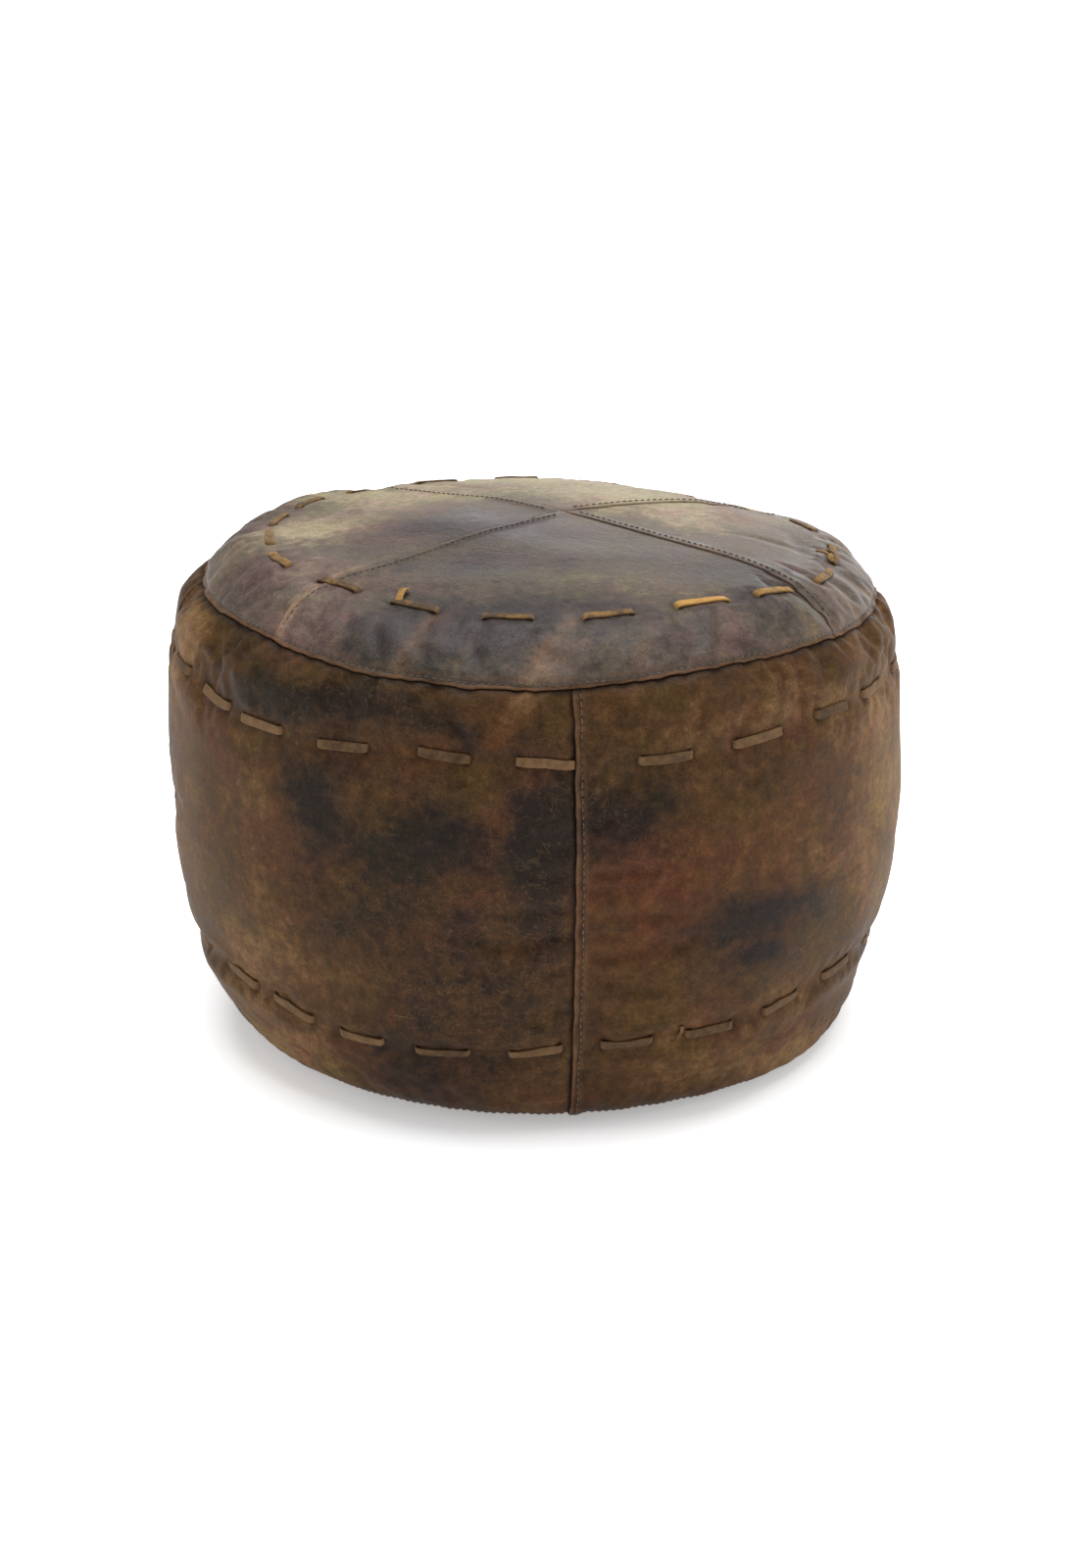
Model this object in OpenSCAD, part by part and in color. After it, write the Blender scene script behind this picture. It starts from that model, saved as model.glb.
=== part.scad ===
// Stuffed leather pouf: a barrel-shaped cover of sewn leather panels with three rows of thong lacing,
// an inner cotton bag with its filling, and a zip in the base.
// Azimuths are in degrees seen from above: 0 is the front (-Y) and 90 is the right (+X).
// Half sections are drawn with X as the radius and Y as the height.

/* [Overall] */
// Diameter at the widest place of the leather
diameter = 560; // [540:5:580]
// Height at the middle of the seat
height = 382; // [376:1:388]

/* [Section] */
// Height of the widest place
belly_height = 192; // [186:1:198]
// Radius of the upright bulge of the side
belly_curve = 580; // [560:5:600]
// Radius of the bend from the side into the seat
shoulder_round = 66; // [60:1:72]
// Radius of the bend from the side into the base
base_round = 45; // [40:1:50]
// Radius of the domed seat
dome_curve = 1100; // [1000:20:1200]
// How far the seat's seam lies inside the widest place
rim_inset = 25; // [23:1:27]
// How far the base's seam lies inside the widest place
base_inset = 46.5; // [45:0.5:48]

/* [Leather] */
// Thickness of the leather
leather = 2; // [1.8:0.1:2.2]
// How much a turned edge stands above the leather
turned_rise = 1.8; // [1.6:0.1:2]
// Width of a turned edge
turned_width = 9; // [8:0.5:10]
// How far a turned edge laps over its neighbour
lap = 4; // [3:0.5:4]

/* [Seams] */
// Azimuth of the front seam of the side
side_seam = 6.5; // [5:0.5:8]
// Where the four seams of the seat meet, right of the middle
cross_right = 20; // [0:5:30]
// Where the four seams of the seat meet, behind the middle
cross_back = 25; // [0:5:30]
// Azimuths of the four seams of the seat
seat_seams = [-45, 48, 118, 226]; // [-50:1:240]

/* [Lacing] */
// Width of the leather lace
lace_width = 6.5; // [5:0.5:8]
// Thickness of the leather lace
lace_thick = 2.2; // [1.8:0.2:2.4]
// Length of each lace stitch on the outside
stitch_length = 37; // [32:1:40]
// Radius of the lacing on the seat
seat_lace_radius = 207; // [198:1:209]
// Height of the upper lacing on the side
upper_lace_height = 288; // [280:1:294]
// Height of the lower lacing on the side
lower_lace_height = 73; // [68:1:90]

/* [Zip] */
// Length of the zip
zip_length = 340; // [300:10:350]
// Depth of the recess that holds the zip
zip_recess = 8.5; // [8.5:0.5:9.5]

/* [Hidden] */
$fn = 96;
// Faces of a full circle for the two long arcs of the section
long_arc_faces = 240;

gap = 0.3;
eps = 0.01;
// How far the pieces of a solid section run into each other
overlap = 5;
// Degrees by which one arc of the section runs into the next, so that they join into one solid
knit = 1;
radius = diameter / 2;
rim_radius = radius - rim_inset;
base_seam_radius = radius - base_inset;
far = 2 * radius;

seat_stitches = 19;
upper_stitches = 24;
lower_stitches = 28;
seat_lace_start = -5;
upper_lace_start = side_seam - 5;
lower_lace_start = side_seam - 180 / lower_stitches;

liner_inset = 5;
liner_thick = 1.6;
filling_inset = liner_inset + liner_thick + gap;

thread = 1;
thread_rise = 0.6;
thread_gap = 0.1;
seat_thread_offset = 6;
seat_thread_start = 14;
side_thread_offset = 5.5;
base_thread_offset = 4;

// Arc centres of the half section. Each bend touches its neighbours inside, so an inset of the
// section keeps the same centres and only shortens the radii.
function meet(a, ra, b, rb) =
    let (d = b - a, n = norm(d), s = (ra * ra - rb * rb + n * n) / (2 * n))
    a + d * s / n + [-d[1], d[0]] * sqrt(ra * ra - s * s) / n;
belly_centre = [radius - belly_curve, belly_height];
dome_centre = [0, height - dome_curve];
shoulder_centre = meet(belly_centre, belly_curve - shoulder_round, dome_centre, dome_curve - shoulder_round);
base_centre = [
    belly_centre[0] + sqrt(pow(belly_curve - base_round, 2) - pow(belly_height - base_round, 2)),
    base_round
];

// Angle of an arc of the given length
function arc_degrees(length, r) = length / r * 180 / PI;

// Angles of the half section, from 0 straight out to 90 straight up
function aim(from, to) = atan2(to[1] - from[1], to[0] - from[0]);
belly_low = aim(belly_centre, base_centre);
belly_high = aim(belly_centre, shoulder_centre);
shoulder_high = aim(dome_centre, shoulder_centre);
rim_angle = acos((rim_radius - shoulder_centre[0]) / shoulder_round);
base_seam_angle = -acos((base_seam_radius - base_centre[0]) / base_round);
rim_lap = rim_angle - arc_degrees(lap, shoulder_round);
rim_turned = rim_angle + arc_degrees(turned_width, shoulder_round);
side_top = rim_angle - arc_degrees(gap, shoulder_round);
side_bottom = base_seam_angle + arc_degrees(gap, base_round);
turned_top = rim_lap - arc_degrees(2 * gap, shoulder_round);

// Zip sizes, in the recess of the base
recess_end = 12;
recess_length = zip_length + 2 * recess_end;
recess_width = 36;
slit_half = 4.2;
tooth_pitch = 3;
tooth_width = 1.4;
tooth_in = 0.8;
tooth_out = 2.6;
tooth_spine = 2;
tooth_depth = 2.4;
tooth_margin = 5;
tooth_low = zip_recess + 1.5;
tooth_high = tooth_low + tooth_depth;
tape_thick = 0.8;
tape_low = tooth_low + (tooth_depth - tape_thick) / 2;
tape_high = tape_low + tape_thick;
tape_out = 14;
tape_end = recess_length / 2 - 6;
top_stop = 2.2;
bottom_stop = 3;
bottom_stop_proud = 0.2;
slider_length = 14;
slider_half = 3.6;
slider_plate = 1.2;
slider_roof = 1;
slider_bridge = 4;
slider_low = tooth_low - gap - slider_plate;
slider_high = tooth_high + gap + slider_roof;
slider_x = zip_length / 2 - 10;
flange_in = tooth_out + gap;
bail_r = 0.9;
bail_in = 1.8;
bail_out = 2.8;
bail_z = slider_low - 2.9;
pull_eye_r = 2.3;
pull_eye_width = 3;
pull_neck = 5;
pull_half_width = 3.5;
pull_length = 24;
pull_thick = 1.4;
liner_recess_high = slider_high + 1;

// 2D sector of a circle's plane between two angles less than 180 degrees apart
module sector(from, to, reach = 2000) {
    middle = (from + to) / 2;
    polygon([
        [0, 0],
        reach * [cos(from), sin(from)],
        reach * [cos(middle), sin(middle)] * 1.5,
        reach * [cos(to), sin(to)]
    ]);
}

// 2D strip along one arc of the half section, between two insets from the outer face
module arc_strip(centre, r, from, to, outer, inner) {
    faces = r > radius ? long_arc_faces : $fn;
    translate(centre) intersection() {
        difference() {
            circle(r - outer, $fn = faces);
            circle(r - inner, $fn = faces);
        }
        sector(from, to);
    }
}

module base_arc(from, to, outer, inner) {
    arc_strip(base_centre, base_round, from, to, outer, inner);
}

module belly_arc(outer, inner) {
    arc_strip(belly_centre, belly_curve, belly_low, belly_high, outer, inner);
}

module shoulder_arc(from, to, outer, inner) {
    arc_strip(shoulder_centre, shoulder_round, from, to, outer, inner);
}

module dome_arc(outer, inner) {
    intersection() {
        arc_strip(dome_centre, dome_curve, shoulder_high, 91, outer, inner);
        square([radius, height + 10]);
    }
}

// 2D section of the side between two angles of its base and shoulder bends
module side_section(from, to, outer, inner) {
    base_arc(from, belly_low + knit, outer, inner);
    belly_arc(outer, inner);
    shoulder_arc(belly_high - knit, to, outer, inner);
}

// 2D section of the seat from an angle of the shoulder bend up to the middle
module seat_section(from, outer, inner) {
    shoulder_arc(from, shoulder_high + knit, outer, inner);
    dome_arc(outer, inner);
}

// 2D section of the base from the middle out to an angle of the base bend
module base_section(to, outer, inner) {
    translate([0, outer]) square([base_centre[0], inner - outer]);
    base_arc(-90, to, outer, inner);
}

// 2D solid half section, inset all round
module solid_section(inset) {
    polygon([
        [0, inset],
        [base_centre[0], inset],
        base_centre + [overlap, 0],
        shoulder_centre + [overlap, overlap],
        [0, shoulder_centre[1] + overlap]
    ]);
    base_arc(-90, belly_low + knit, inset, base_round);
    intersection() {
        arc_strip(belly_centre, belly_curve, belly_low, belly_high, inset, belly_curve - 1);
        square([radius, height]);
    }
    shoulder_arc(belly_high - knit, shoulder_high + knit, inset, shoulder_round);
    intersection() {
        arc_strip(dome_centre, dome_curve, shoulder_high, 91, inset, dome_curve - 1);
        translate([0, shoulder_centre[1] - overlap]) square([radius, height]);
    }
}

// A half section turned about the axis from one azimuth to another
module turned(from, to) {
    rotate_extrude(angle = to - from, start = from - 90) children();
}

// Lacing: local X of a lace's section points out of the leather and local Y runs along it
function belly_normal(z) = asin((z - belly_height) / belly_curve);
function belly_point(z) = [belly_centre[0] + belly_curve * cos(belly_normal(z)), z];
function dome_normal(r) = acos(r / dome_curve);
function dome_point(r) = [r, dome_centre[1] + dome_curve * sin(dome_normal(r))];

lace_out = gap + lace_thick;
lace_in = leather + gap + lace_thick;

module lace_strip(point, normal, low, high, width) {
    translate(point) rotate(normal) translate([low, -width / 2]) square([high - low, width]);
}

// A lace that runs in and out of the leather all the way round
module lace_ring(point, normal, count, start) {
    pitch = 360 / count;
    stitch = arc_degrees(stitch_length, point[0]);
    turn = arc_degrees(lace_thick, point[0]);
    difference() {
        rotate_extrude(angle = 360) lace_strip(point, normal, -lace_in, lace_out, lace_width);
        for (i = [0 : count - 1]) {
            middle = start + i * pitch;
            turned(middle - stitch / 2 + turn, middle + stitch / 2 - turn)
                lace_strip(point, normal, -lace_in - 1, gap, lace_width + 2);
            turned(middle + stitch / 2, middle + pitch - stitch / 2)
                lace_strip(point, normal, -leather - gap, lace_out + 1, lace_width + 2);
        }
    }
}

// The slits that a lace passes through, for the stitches whose ends lie between two azimuths
module lace_slits(point, normal, count, start, from, to) {
    pitch = 360 / count;
    stitch = arc_degrees(stitch_length, point[0]);
    half_turn = arc_degrees(lace_thick, point[0]) / 2;
    for (i = [-count : 2 * count - 1]) {
        for (side = [-1, 1]) {
            middle = start + i * pitch + side * (stitch / 2 - half_turn);
            if (middle > from && middle < to) {
                rotate([0, 0, middle - 90])
                    translate([point[0], 0, point[1]])
                        rotate([0, -normal, 0])
                            cube([4 * leather, lace_thick + 2 * gap, lace_width + 2 * gap], center = true);
            }
        }
    }
}

module seat_slits(from, to) {
    lace_slits(dome_point(seat_lace_radius), dome_normal(seat_lace_radius),
        seat_stitches, seat_lace_start, from, to);
}

module side_slits(from, to) {
    lace_slits(belly_point(upper_lace_height), belly_normal(upper_lace_height),
        upper_stitches, upper_lace_start, from, to);
    lace_slits(belly_point(lower_lace_height), belly_normal(lower_lace_height),
        lower_stitches, lower_lace_start, from, to);
}

// Seat: four wedges that meet off the middle, with an outer edge that is turned over the side
module seat_wedge(from, to) {
    half = (to - from) / 2;
    middle = (from + to) / 2 - 90;
    reach = gap / 2 / sin(half);
    translate([cross_right, cross_back, 0] + reach * [cos(middle), sin(middle), 0])
        linear_extrude(height + 10) sector(from - 90, to - 90, far);
}

module seat_skin() {
    rotate_extrude(angle = 360) {
        seat_section(rim_angle, 0, leather);
        shoulder_arc(rim_angle, rim_turned, -turned_rise, leather / 2);
        shoulder_arc(rim_lap, rim_turned, -turned_rise, -gap);
    }
}

module seat_panel(i) {
    from = seat_seams[i];
    to = i < 3 ? seat_seams[i + 1] : seat_seams[0] + 360;
    difference() {
        intersection() {
            seat_skin();
            seat_wedge(from, to);
        }
        seat_slits(from - 12, to + 12);
    }
}

module seat_panel_front() { color([0.29, 0.23, 0.19]) seat_panel(0); }
module seat_panel_right() { color([0.33, 0.28, 0.20]) seat_panel(1); }
module seat_panel_back() { color([0.36, 0.31, 0.22]) seat_panel(2); }
module seat_panel_left() { color([0.27, 0.23, 0.21]) seat_panel(3); }

// Side: four upright panels, each with a turned edge that laps over its neighbour
module side_panel(i) {
    from = side_seam + 90 * i;
    to = from + 90 - arc_degrees(gap, radius);
    own = arc_degrees(turned_width, radius);
    over = arc_degrees(lap, radius);
    difference() {
        union() {
            turned(from, to) side_section(side_bottom, side_top, 0, leather);
            turned(from, from + own) side_section(side_bottom, turned_top, -turned_rise, leather / 2);
            turned(from - over, from + own / 2) side_section(side_bottom, turned_top, -turned_rise, -gap);
        }
        side_slits(from, to);
    }
}

module side_panel_front_right() { color([0.36, 0.23, 0.14]) side_panel(0); }
module side_panel_back_right() { color([0.34, 0.22, 0.14]) side_panel(1); }
module side_panel_back_left() { color([0.33, 0.21, 0.13]) side_panel(2); }
module side_panel_front_left() { color([0.38, 0.25, 0.15]) side_panel(3); }

// Base: two halves with a shallow recess that keeps the zip off the floor
module recess_block(low, high, grow) {
    straight = recess_length / 2 - recess_width / 2;
    translate([-straight, -recess_width / 2 - grow, low])
        cube([2 * straight, recess_width + 2 * grow, high - low]);
    for (side = [-1, 1]) {
        translate([side * straight, 0, low]) cylinder(h = high - low, r = recess_width / 2 + grow);
    }
}

module base_skin() {
    difference() {
        union() {
            rotate_extrude(angle = 360) base_section(base_seam_angle, 0, leather);
            recess_block(eps, zip_recess + leather, leather);
        }
        recess_block(-1, zip_recess, 0);
        translate([-zip_length / 2, -slit_half, -1]) cube([zip_length, 2 * slit_half, 2 * zip_recess]);
    }
}

module base_panel(side) {
    intersection() {
        base_skin();
        translate([-far, side > 0 ? gap / 2 : -far - gap / 2, -1]) cube([2 * far, far, 2 * zip_recess]);
    }
}

module base_panel_front() { color([0.24, 0.18, 0.13]) base_panel(-1); }
module base_panel_back() { color([0.24, 0.18, 0.13]) base_panel(1); }

module seat_lace() {
    color([0.62, 0.41, 0.16])
        lace_ring(dome_point(seat_lace_radius), dome_normal(seat_lace_radius),
            seat_stitches, seat_lace_start);
}

module upper_side_lace() {
    color([0.50, 0.33, 0.17])
        lace_ring(belly_point(upper_lace_height), belly_normal(upper_lace_height),
            upper_stitches, upper_lace_start);
}

module lower_side_lace() {
    color([0.46, 0.30, 0.16])
        lace_ring(belly_point(lower_lace_height), belly_normal(lower_lace_height),
            lower_stitches, lower_lace_start);
}

// Threads: the row of topstitching beside each seam
module rim_thread() {
    middle = rim_angle + arc_degrees(turned_width / 2, shoulder_round);
    half = arc_degrees(thread / 2, shoulder_round);
    low = -turned_rise - thread_gap;
    color([0.30, 0.20, 0.12])
        rotate_extrude(angle = 360)
            shoulder_arc(middle - half, middle + half, low - thread_rise, low);
}

// The part of a seat thread on the dome and the part on the bend, a stitch hole apart
module seat_thread_section() {
    hole = arc_degrees(gap, shoulder_round);
    dome_arc(-thread_gap - thread_rise, -thread_gap);
    shoulder_arc(rim_turned + 2 * hole, shoulder_high - hole, -thread_gap - thread_rise, -thread_gap);
}

module seat_seam_threads() {
    lace_clear = lace_width / 2 + 2;
    color([0.30, 0.20, 0.12])
        difference() {
            intersection() {
                rotate_extrude(angle = 360) seat_thread_section();
                union() {
                    for (azimuth = seat_seams) {
                        translate([cross_right, cross_back, 0]) rotate([0, 0, azimuth - 90])
                            translate([seat_thread_start, seat_thread_offset, 0]) cube([far, thread, far]);
                    }
                }
            }
            difference() {
                cylinder(h = far, r = seat_lace_radius + lace_clear);
                translate([0, 0, -1]) cylinder(h = far + 2, r = seat_lace_radius - lace_clear);
            }
        }
}

module side_seam_threads() {
    low = -turned_rise - thread_gap;
    bottom = side_bottom + arc_degrees(base_thread_offset + thread + 2 * gap, base_round);
    color([0.30, 0.20, 0.12])
        for (i = [0 : 3]) {
            from = side_seam + 90 * i + arc_degrees(side_thread_offset, radius);
            turned(from, from + arc_degrees(thread, radius))
                side_section(bottom, turned_top - 1, low - thread_rise, low);
        }
}

module base_thread() {
    from = side_bottom + arc_degrees(base_thread_offset, base_round);
    to = from + arc_degrees(thread, base_round);
    rise = turned_rise + thread_gap;
    color([0.30, 0.20, 0.12])
        rotate_extrude(angle = 360) base_arc(from, to, -rise - thread_rise, -rise);
}

// Inner bag: a top disc, one tube and a base disc of cotton, raised over the zip
module liner_top() {
    color([0.86, 0.83, 0.76])
        rotate_extrude(angle = 360)
            seat_section(rim_angle, liner_inset, liner_inset + liner_thick);
}

module liner_side() {
    color([0.86, 0.83, 0.76])
        rotate_extrude(angle = 360)
            side_section(side_bottom, side_top, liner_inset, liner_inset + liner_thick);
}

module liner_base() {
    wall = leather + 2 * gap;
    color([0.86, 0.83, 0.76])
        difference() {
            union() {
                rotate_extrude(angle = 360)
                    base_section(base_seam_angle, liner_inset, liner_inset + liner_thick);
                recess_block(liner_inset + eps, liner_recess_high + liner_thick, wall + liner_thick);
            }
            recess_block(-1, liner_recess_high, wall);
        }
}

module filling() {
    color([0.80, 0.77, 0.70])
        difference() {
            rotate_extrude(angle = 360) solid_section(filling_inset);
            recess_block(-1, liner_recess_high + liner_thick + gap, leather + liner_thick + 3 * gap);
        }
}

// Zip: it runs from left to right under the base, with the slider at its closed right end
module zip_tape(side) {
    color([0.13, 0.11, 0.10])
        translate([-tape_end, side > 0 ? tooth_out : -tape_out, tape_low])
            cube([2 * tape_end, tape_out - tooth_out, tape_thick]);
}

module zip_tape_front() { zip_tape(-1); }
module zip_tape_back() { zip_tape(1); }

// One row of teeth on its spine, drawn from above
module zip_teeth(side, shift) {
    count = floor((zip_length - 2 * tooth_margin) / tooth_pitch);
    half = count * tooth_pitch / 2;
    teeth = [
        for (i = [0 : count - 1], corner = [0 : 3])
        let (x = -half + shift + i * tooth_pitch + (corner > 1 ? tooth_width : 0))
        [x, side * (corner == 0 || corner == 3 ? tooth_spine : tooth_in)]
    ];
    color([0.55, 0.44, 0.24])
        translate([0, 0, tooth_low]) linear_extrude(tooth_depth)
            polygon(concat(teeth, [[half + shift, side * tooth_out], [-half + shift, side * tooth_out]]));
}

module zip_teeth_front() { zip_teeth(-1, 0); }
module zip_teeth_back() { zip_teeth(1, tooth_pitch / 2); }

module zip_top_stops() {
    color([0.55, 0.44, 0.24])
        for (side = [-1, 1]) {
            translate([zip_length / 2 - top_stop - gap, side > 0 ? tooth_in : -tooth_out, tooth_low])
                cube([top_stop, tooth_out - tooth_in, tooth_depth]);
        }
}

module zip_bottom_stop() {
    color([0.55, 0.44, 0.24])
        translate([-zip_length / 2 + gap, -tooth_out, tooth_low - bottom_stop_proud])
            cube([bottom_stop, 2 * tooth_out, tooth_depth + 2 * bottom_stop_proud]);
}

// Slider: two plates joined by a bridge at the closed end, with flanges that stop short of the tapes
module slider_body() {
    left = slider_x - slider_length / 2;
    flange = slider_half - flange_in;
    overlap = slider_roof / 2;
    translate([left, -slider_half, slider_low]) cube([slider_length, 2 * slider_half, slider_plate]);
    translate([left, -slider_half, slider_high - slider_roof])
        cube([slider_length, 2 * slider_half, slider_roof]);
    translate([left + slider_length - slider_bridge, -tooth_in / 2, slider_low + overlap])
        cube([slider_bridge, tooth_in, slider_high - slider_low - 2 * overlap]);
    for (y = [flange_in, -slider_half]) {
        translate([left, y, slider_low + overlap])
            cube([slider_length, flange, tape_low - gap - slider_low - overlap]);
        translate([left, y, tape_high + gap])
            cube([slider_length, flange, slider_high - overlap - tape_high - gap]);
    }
}

// Two ears and the pin between them, which carries the pull
module slider_bail() {
    for (y = [bail_in, -bail_out]) {
        translate([slider_x - bail_r, y, bail_z])
            cube([2 * bail_r, bail_out - bail_in, slider_low + slider_plate / 2 - bail_z]);
    }
    translate([slider_x, -bail_out, bail_z]) rotate([-90, 0, 0]) cylinder(h = 2 * bail_out, r = bail_r);
}

module zip_slider() {
    color([0.60, 0.49, 0.28]) {
        slider_body();
        slider_bail();
    }
}

module pull_plate() {
    tip = slider_x - pull_length + pull_half_width;
    translate([slider_x, -pull_eye_width / 2, bail_z]) rotate([-90, 0, 0])
        cylinder(h = pull_eye_width, r = pull_eye_r);
    translate([slider_x - pull_neck, -pull_eye_width / 2, bail_z - pull_thick / 2])
        cube([pull_neck, pull_eye_width, pull_thick]);
    translate([tip, -pull_half_width, bail_z - pull_thick / 2])
        cube([slider_x - pull_neck + 1 - tip, 2 * pull_half_width, pull_thick]);
    translate([tip, 0, bail_z - pull_thick / 2]) cylinder(h = pull_thick, r = pull_half_width);
}

module zip_pull() {
    color([0.60, 0.49, 0.28])
        difference() {
            pull_plate();
            translate([slider_x, -pull_eye_width, bail_z]) rotate([-90, 0, 0])
                cylinder(h = 2 * pull_eye_width, r = bail_r + gap);
        }
}

seat_panel_front();
seat_panel_right();
seat_panel_back();
seat_panel_left();
side_panel_front_right();
side_panel_back_right();
side_panel_back_left();
side_panel_front_left();
base_panel_front();
base_panel_back();
seat_lace();
upper_side_lace();
lower_side_lace();
rim_thread();
seat_seam_threads();
side_seam_threads();
base_thread();
liner_top();
liner_side();
liner_base();
filling();
zip_tape_front();
zip_tape_back();
zip_teeth_front();
zip_teeth_back();
zip_top_stops();
zip_bottom_stop();
zip_slider();
zip_pull();
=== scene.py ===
import math

import bpy
import numpy as np
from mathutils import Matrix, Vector


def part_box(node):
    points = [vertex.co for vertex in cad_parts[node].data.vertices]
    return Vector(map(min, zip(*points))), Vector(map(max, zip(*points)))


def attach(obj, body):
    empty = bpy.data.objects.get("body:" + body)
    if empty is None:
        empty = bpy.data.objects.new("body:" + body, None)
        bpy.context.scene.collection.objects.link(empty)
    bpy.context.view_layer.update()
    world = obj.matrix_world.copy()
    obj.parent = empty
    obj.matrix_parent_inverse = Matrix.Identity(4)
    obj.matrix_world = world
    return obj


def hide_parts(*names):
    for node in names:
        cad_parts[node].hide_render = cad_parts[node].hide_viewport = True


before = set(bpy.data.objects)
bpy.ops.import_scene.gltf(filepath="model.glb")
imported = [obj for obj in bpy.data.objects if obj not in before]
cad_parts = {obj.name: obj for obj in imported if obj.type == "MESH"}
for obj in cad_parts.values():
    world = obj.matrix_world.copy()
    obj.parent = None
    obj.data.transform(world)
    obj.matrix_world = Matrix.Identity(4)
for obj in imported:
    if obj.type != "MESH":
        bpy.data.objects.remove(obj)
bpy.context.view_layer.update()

MM = 0.001

# ---------------------------------------------------------------- sizes, as in the CAD part
RADIUS = 280 * MM
HEIGHT = 382 * MM
BELLY_HEIGHT = 192 * MM
BELLY_CURVE = 580 * MM
SHOULDER_ROUND = 66 * MM
BASE_ROUND = 45 * MM
DOME_CURVE = 1100 * MM
RIM_RADIUS = 255 * MM
BASE_SEAM_RADIUS = 233.5 * MM
SIDE_SEAM = 6.5
CROSS = (20 * MM, 25 * MM)
SEAT_SEAMS = (-45.0, 48.0, 118.0, 226.0)
LACE_WIDTH = 6.5 * MM
LACE_THICK = 2.2 * MM
STITCH_LENGTH = 37 * MM
SEAT_STITCHES = 19
UPPER_STITCHES = 24
LOWER_STITCHES = 28
SEAT_LACE_RADIUS = 207 * MM
UPPER_LACE_HEIGHT = 288 * MM
LOWER_LACE_HEIGHT = 73 * MM
ZIP_HALF = 170 * MM
SLIT_HALF = 4.2 * MM
RECESS_HALF_LENGTH = 182 * MM
RECESS_HALF_WIDTH = 18 * MM
RECESS_DEPTH = 8.5 * MM
CAVITY_DEPTH = 17.5 * MM

# ---------------------------------------------------------------- small maths


def smooth(low, high, x):
    t = np.clip((x - low) / (high - low), 0.0, 1.0)
    return t * t * (3.0 - 2.0 * t)


def hump(x, middle, width):
    return np.exp(-(((x - middle) / width) ** 2))


def turn(a, b):
    """The signed angle in radians from azimuth b (degrees) to a (radians)."""
    return (a - math.radians(b) + math.pi) % (2.0 * math.pi) - math.pi


def unit(v):
    return v / np.linalg.norm(v, axis=-1, keepdims=True)


def full_turn(count):
    """Angles in radians spread evenly over a full turn."""
    return np.arange(count) * 2.0 * math.pi / count


class Noise:
    """Seeded value noise from -1 to 1 on a repeating cubic lattice."""

    SIDE = 32

    def __init__(self, seed):
        self.values = np.random.default_rng(seed).uniform(-1.0, 1.0, (self.SIDE,) * 3)

    def at(self, points, size):
        p = np.asarray(points) / size
        low = np.floor(p).astype(int)
        t = p - low
        t = t * t * (3.0 - 2.0 * t)
        total = np.zeros(p.shape[:-1])
        for corner in range(8):
            step = np.array([(corner >> k) & 1 for k in range(3)])
            i = (low + step) % self.SIDE
            share = np.prod(np.where(step == 1, t, 1.0 - t), axis=-1)
            total += share * self.values[i[..., 0], i[..., 1], i[..., 2]]
        return total


SWELL = Noise(11)
CREASE = Noise(23)
TONE = Noise(37)

# ---------------------------------------------------------------- mesh helpers


def add_object(name, data):
    made = bpy.data.objects.new(name, data)
    bpy.context.scene.collection.objects.link(made)
    return made


def vertex_grid(nu, nv, closed=False):
    """Vertex numbers of a grid; a closed grid has its first row once more at the end."""
    index = np.arange(nu * nv).reshape(nu, nv)
    return np.vstack([index, index[:1]]) if closed else index


def grid_quads(index):
    return np.stack([index[:-1, :-1], index[:-1, 1:], index[1:, 1:], index[1:, :-1]], -1).reshape(-1, 4)


def tube_faces(rings, around, closed, base=0):
    """Quads of a tube; a closed tube joins its last ring to its first."""
    index = vertex_grid(rings, around, closed) + base
    return grid_quads(np.hstack([index, index[:, :1]]))


def end_caps(first, last):
    """Quads that close a tube at its first and last ring, which have an even number of vertices."""
    caps = []
    for ring, order in ((first, -1), (last, 1)):
        count = len(ring)
        for q in range(count // 2 - 1):
            caps.append([ring[q], ring[q + 1], ring[count - 2 - q], ring[count - 1 - q]][::order])
    return np.array(caps)


def make_object(name, points, faces, values=None, sharp=50.0):
    """A smooth mesh with sharp edges above an angle in degrees, and with named values at its vertices."""
    mesh = bpy.data.meshes.new(name)
    faces = np.asarray(faces)
    mesh.vertices.add(len(points))
    mesh.vertices.foreach_set("co", np.asarray(points, np.float32).ravel())
    mesh.loops.add(faces.size)
    mesh.loops.foreach_set("vertex_index", faces.astype(np.int32).ravel())
    mesh.polygons.add(len(faces))
    mesh.polygons.foreach_set("loop_start", np.arange(0, faces.size, faces.shape[1], dtype=np.int32))
    mesh.update(calc_edges=True)
    mesh.validate()
    for key, value in (values or {}).items():
        attribute = mesh.attributes.new(key, "FLOAT", "POINT")
        attribute.data.foreach_set("value", np.asarray(value, np.float32).ravel())
    mesh.shade_smooth()
    mesh.set_sharp_from_angle(angle=math.radians(sharp))
    return add_object(name, mesh)


def shell_faces(nu, nv, closed=False):
    """Quads of a solid made of an outer and an inner grid of nu by nv points, walls included."""
    outer = vertex_grid(nu, nv, closed)
    count = nu * nv
    top = grid_quads(outer)
    edges = [(outer[:, 0], 1), (outer[:, -1], -1)]
    if not closed:
        edges += [(outer[0], -1), (outer[-1], 1)]
    walls = []
    for edge, order in edges:
        wall = np.stack([edge[:-1], edge[1:], edge[1:] + count, edge[:-1] + count], -1)
        walls.append(wall[:, ::order])
    return np.vstack([top, top[:, ::-1] + count, *walls])


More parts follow.
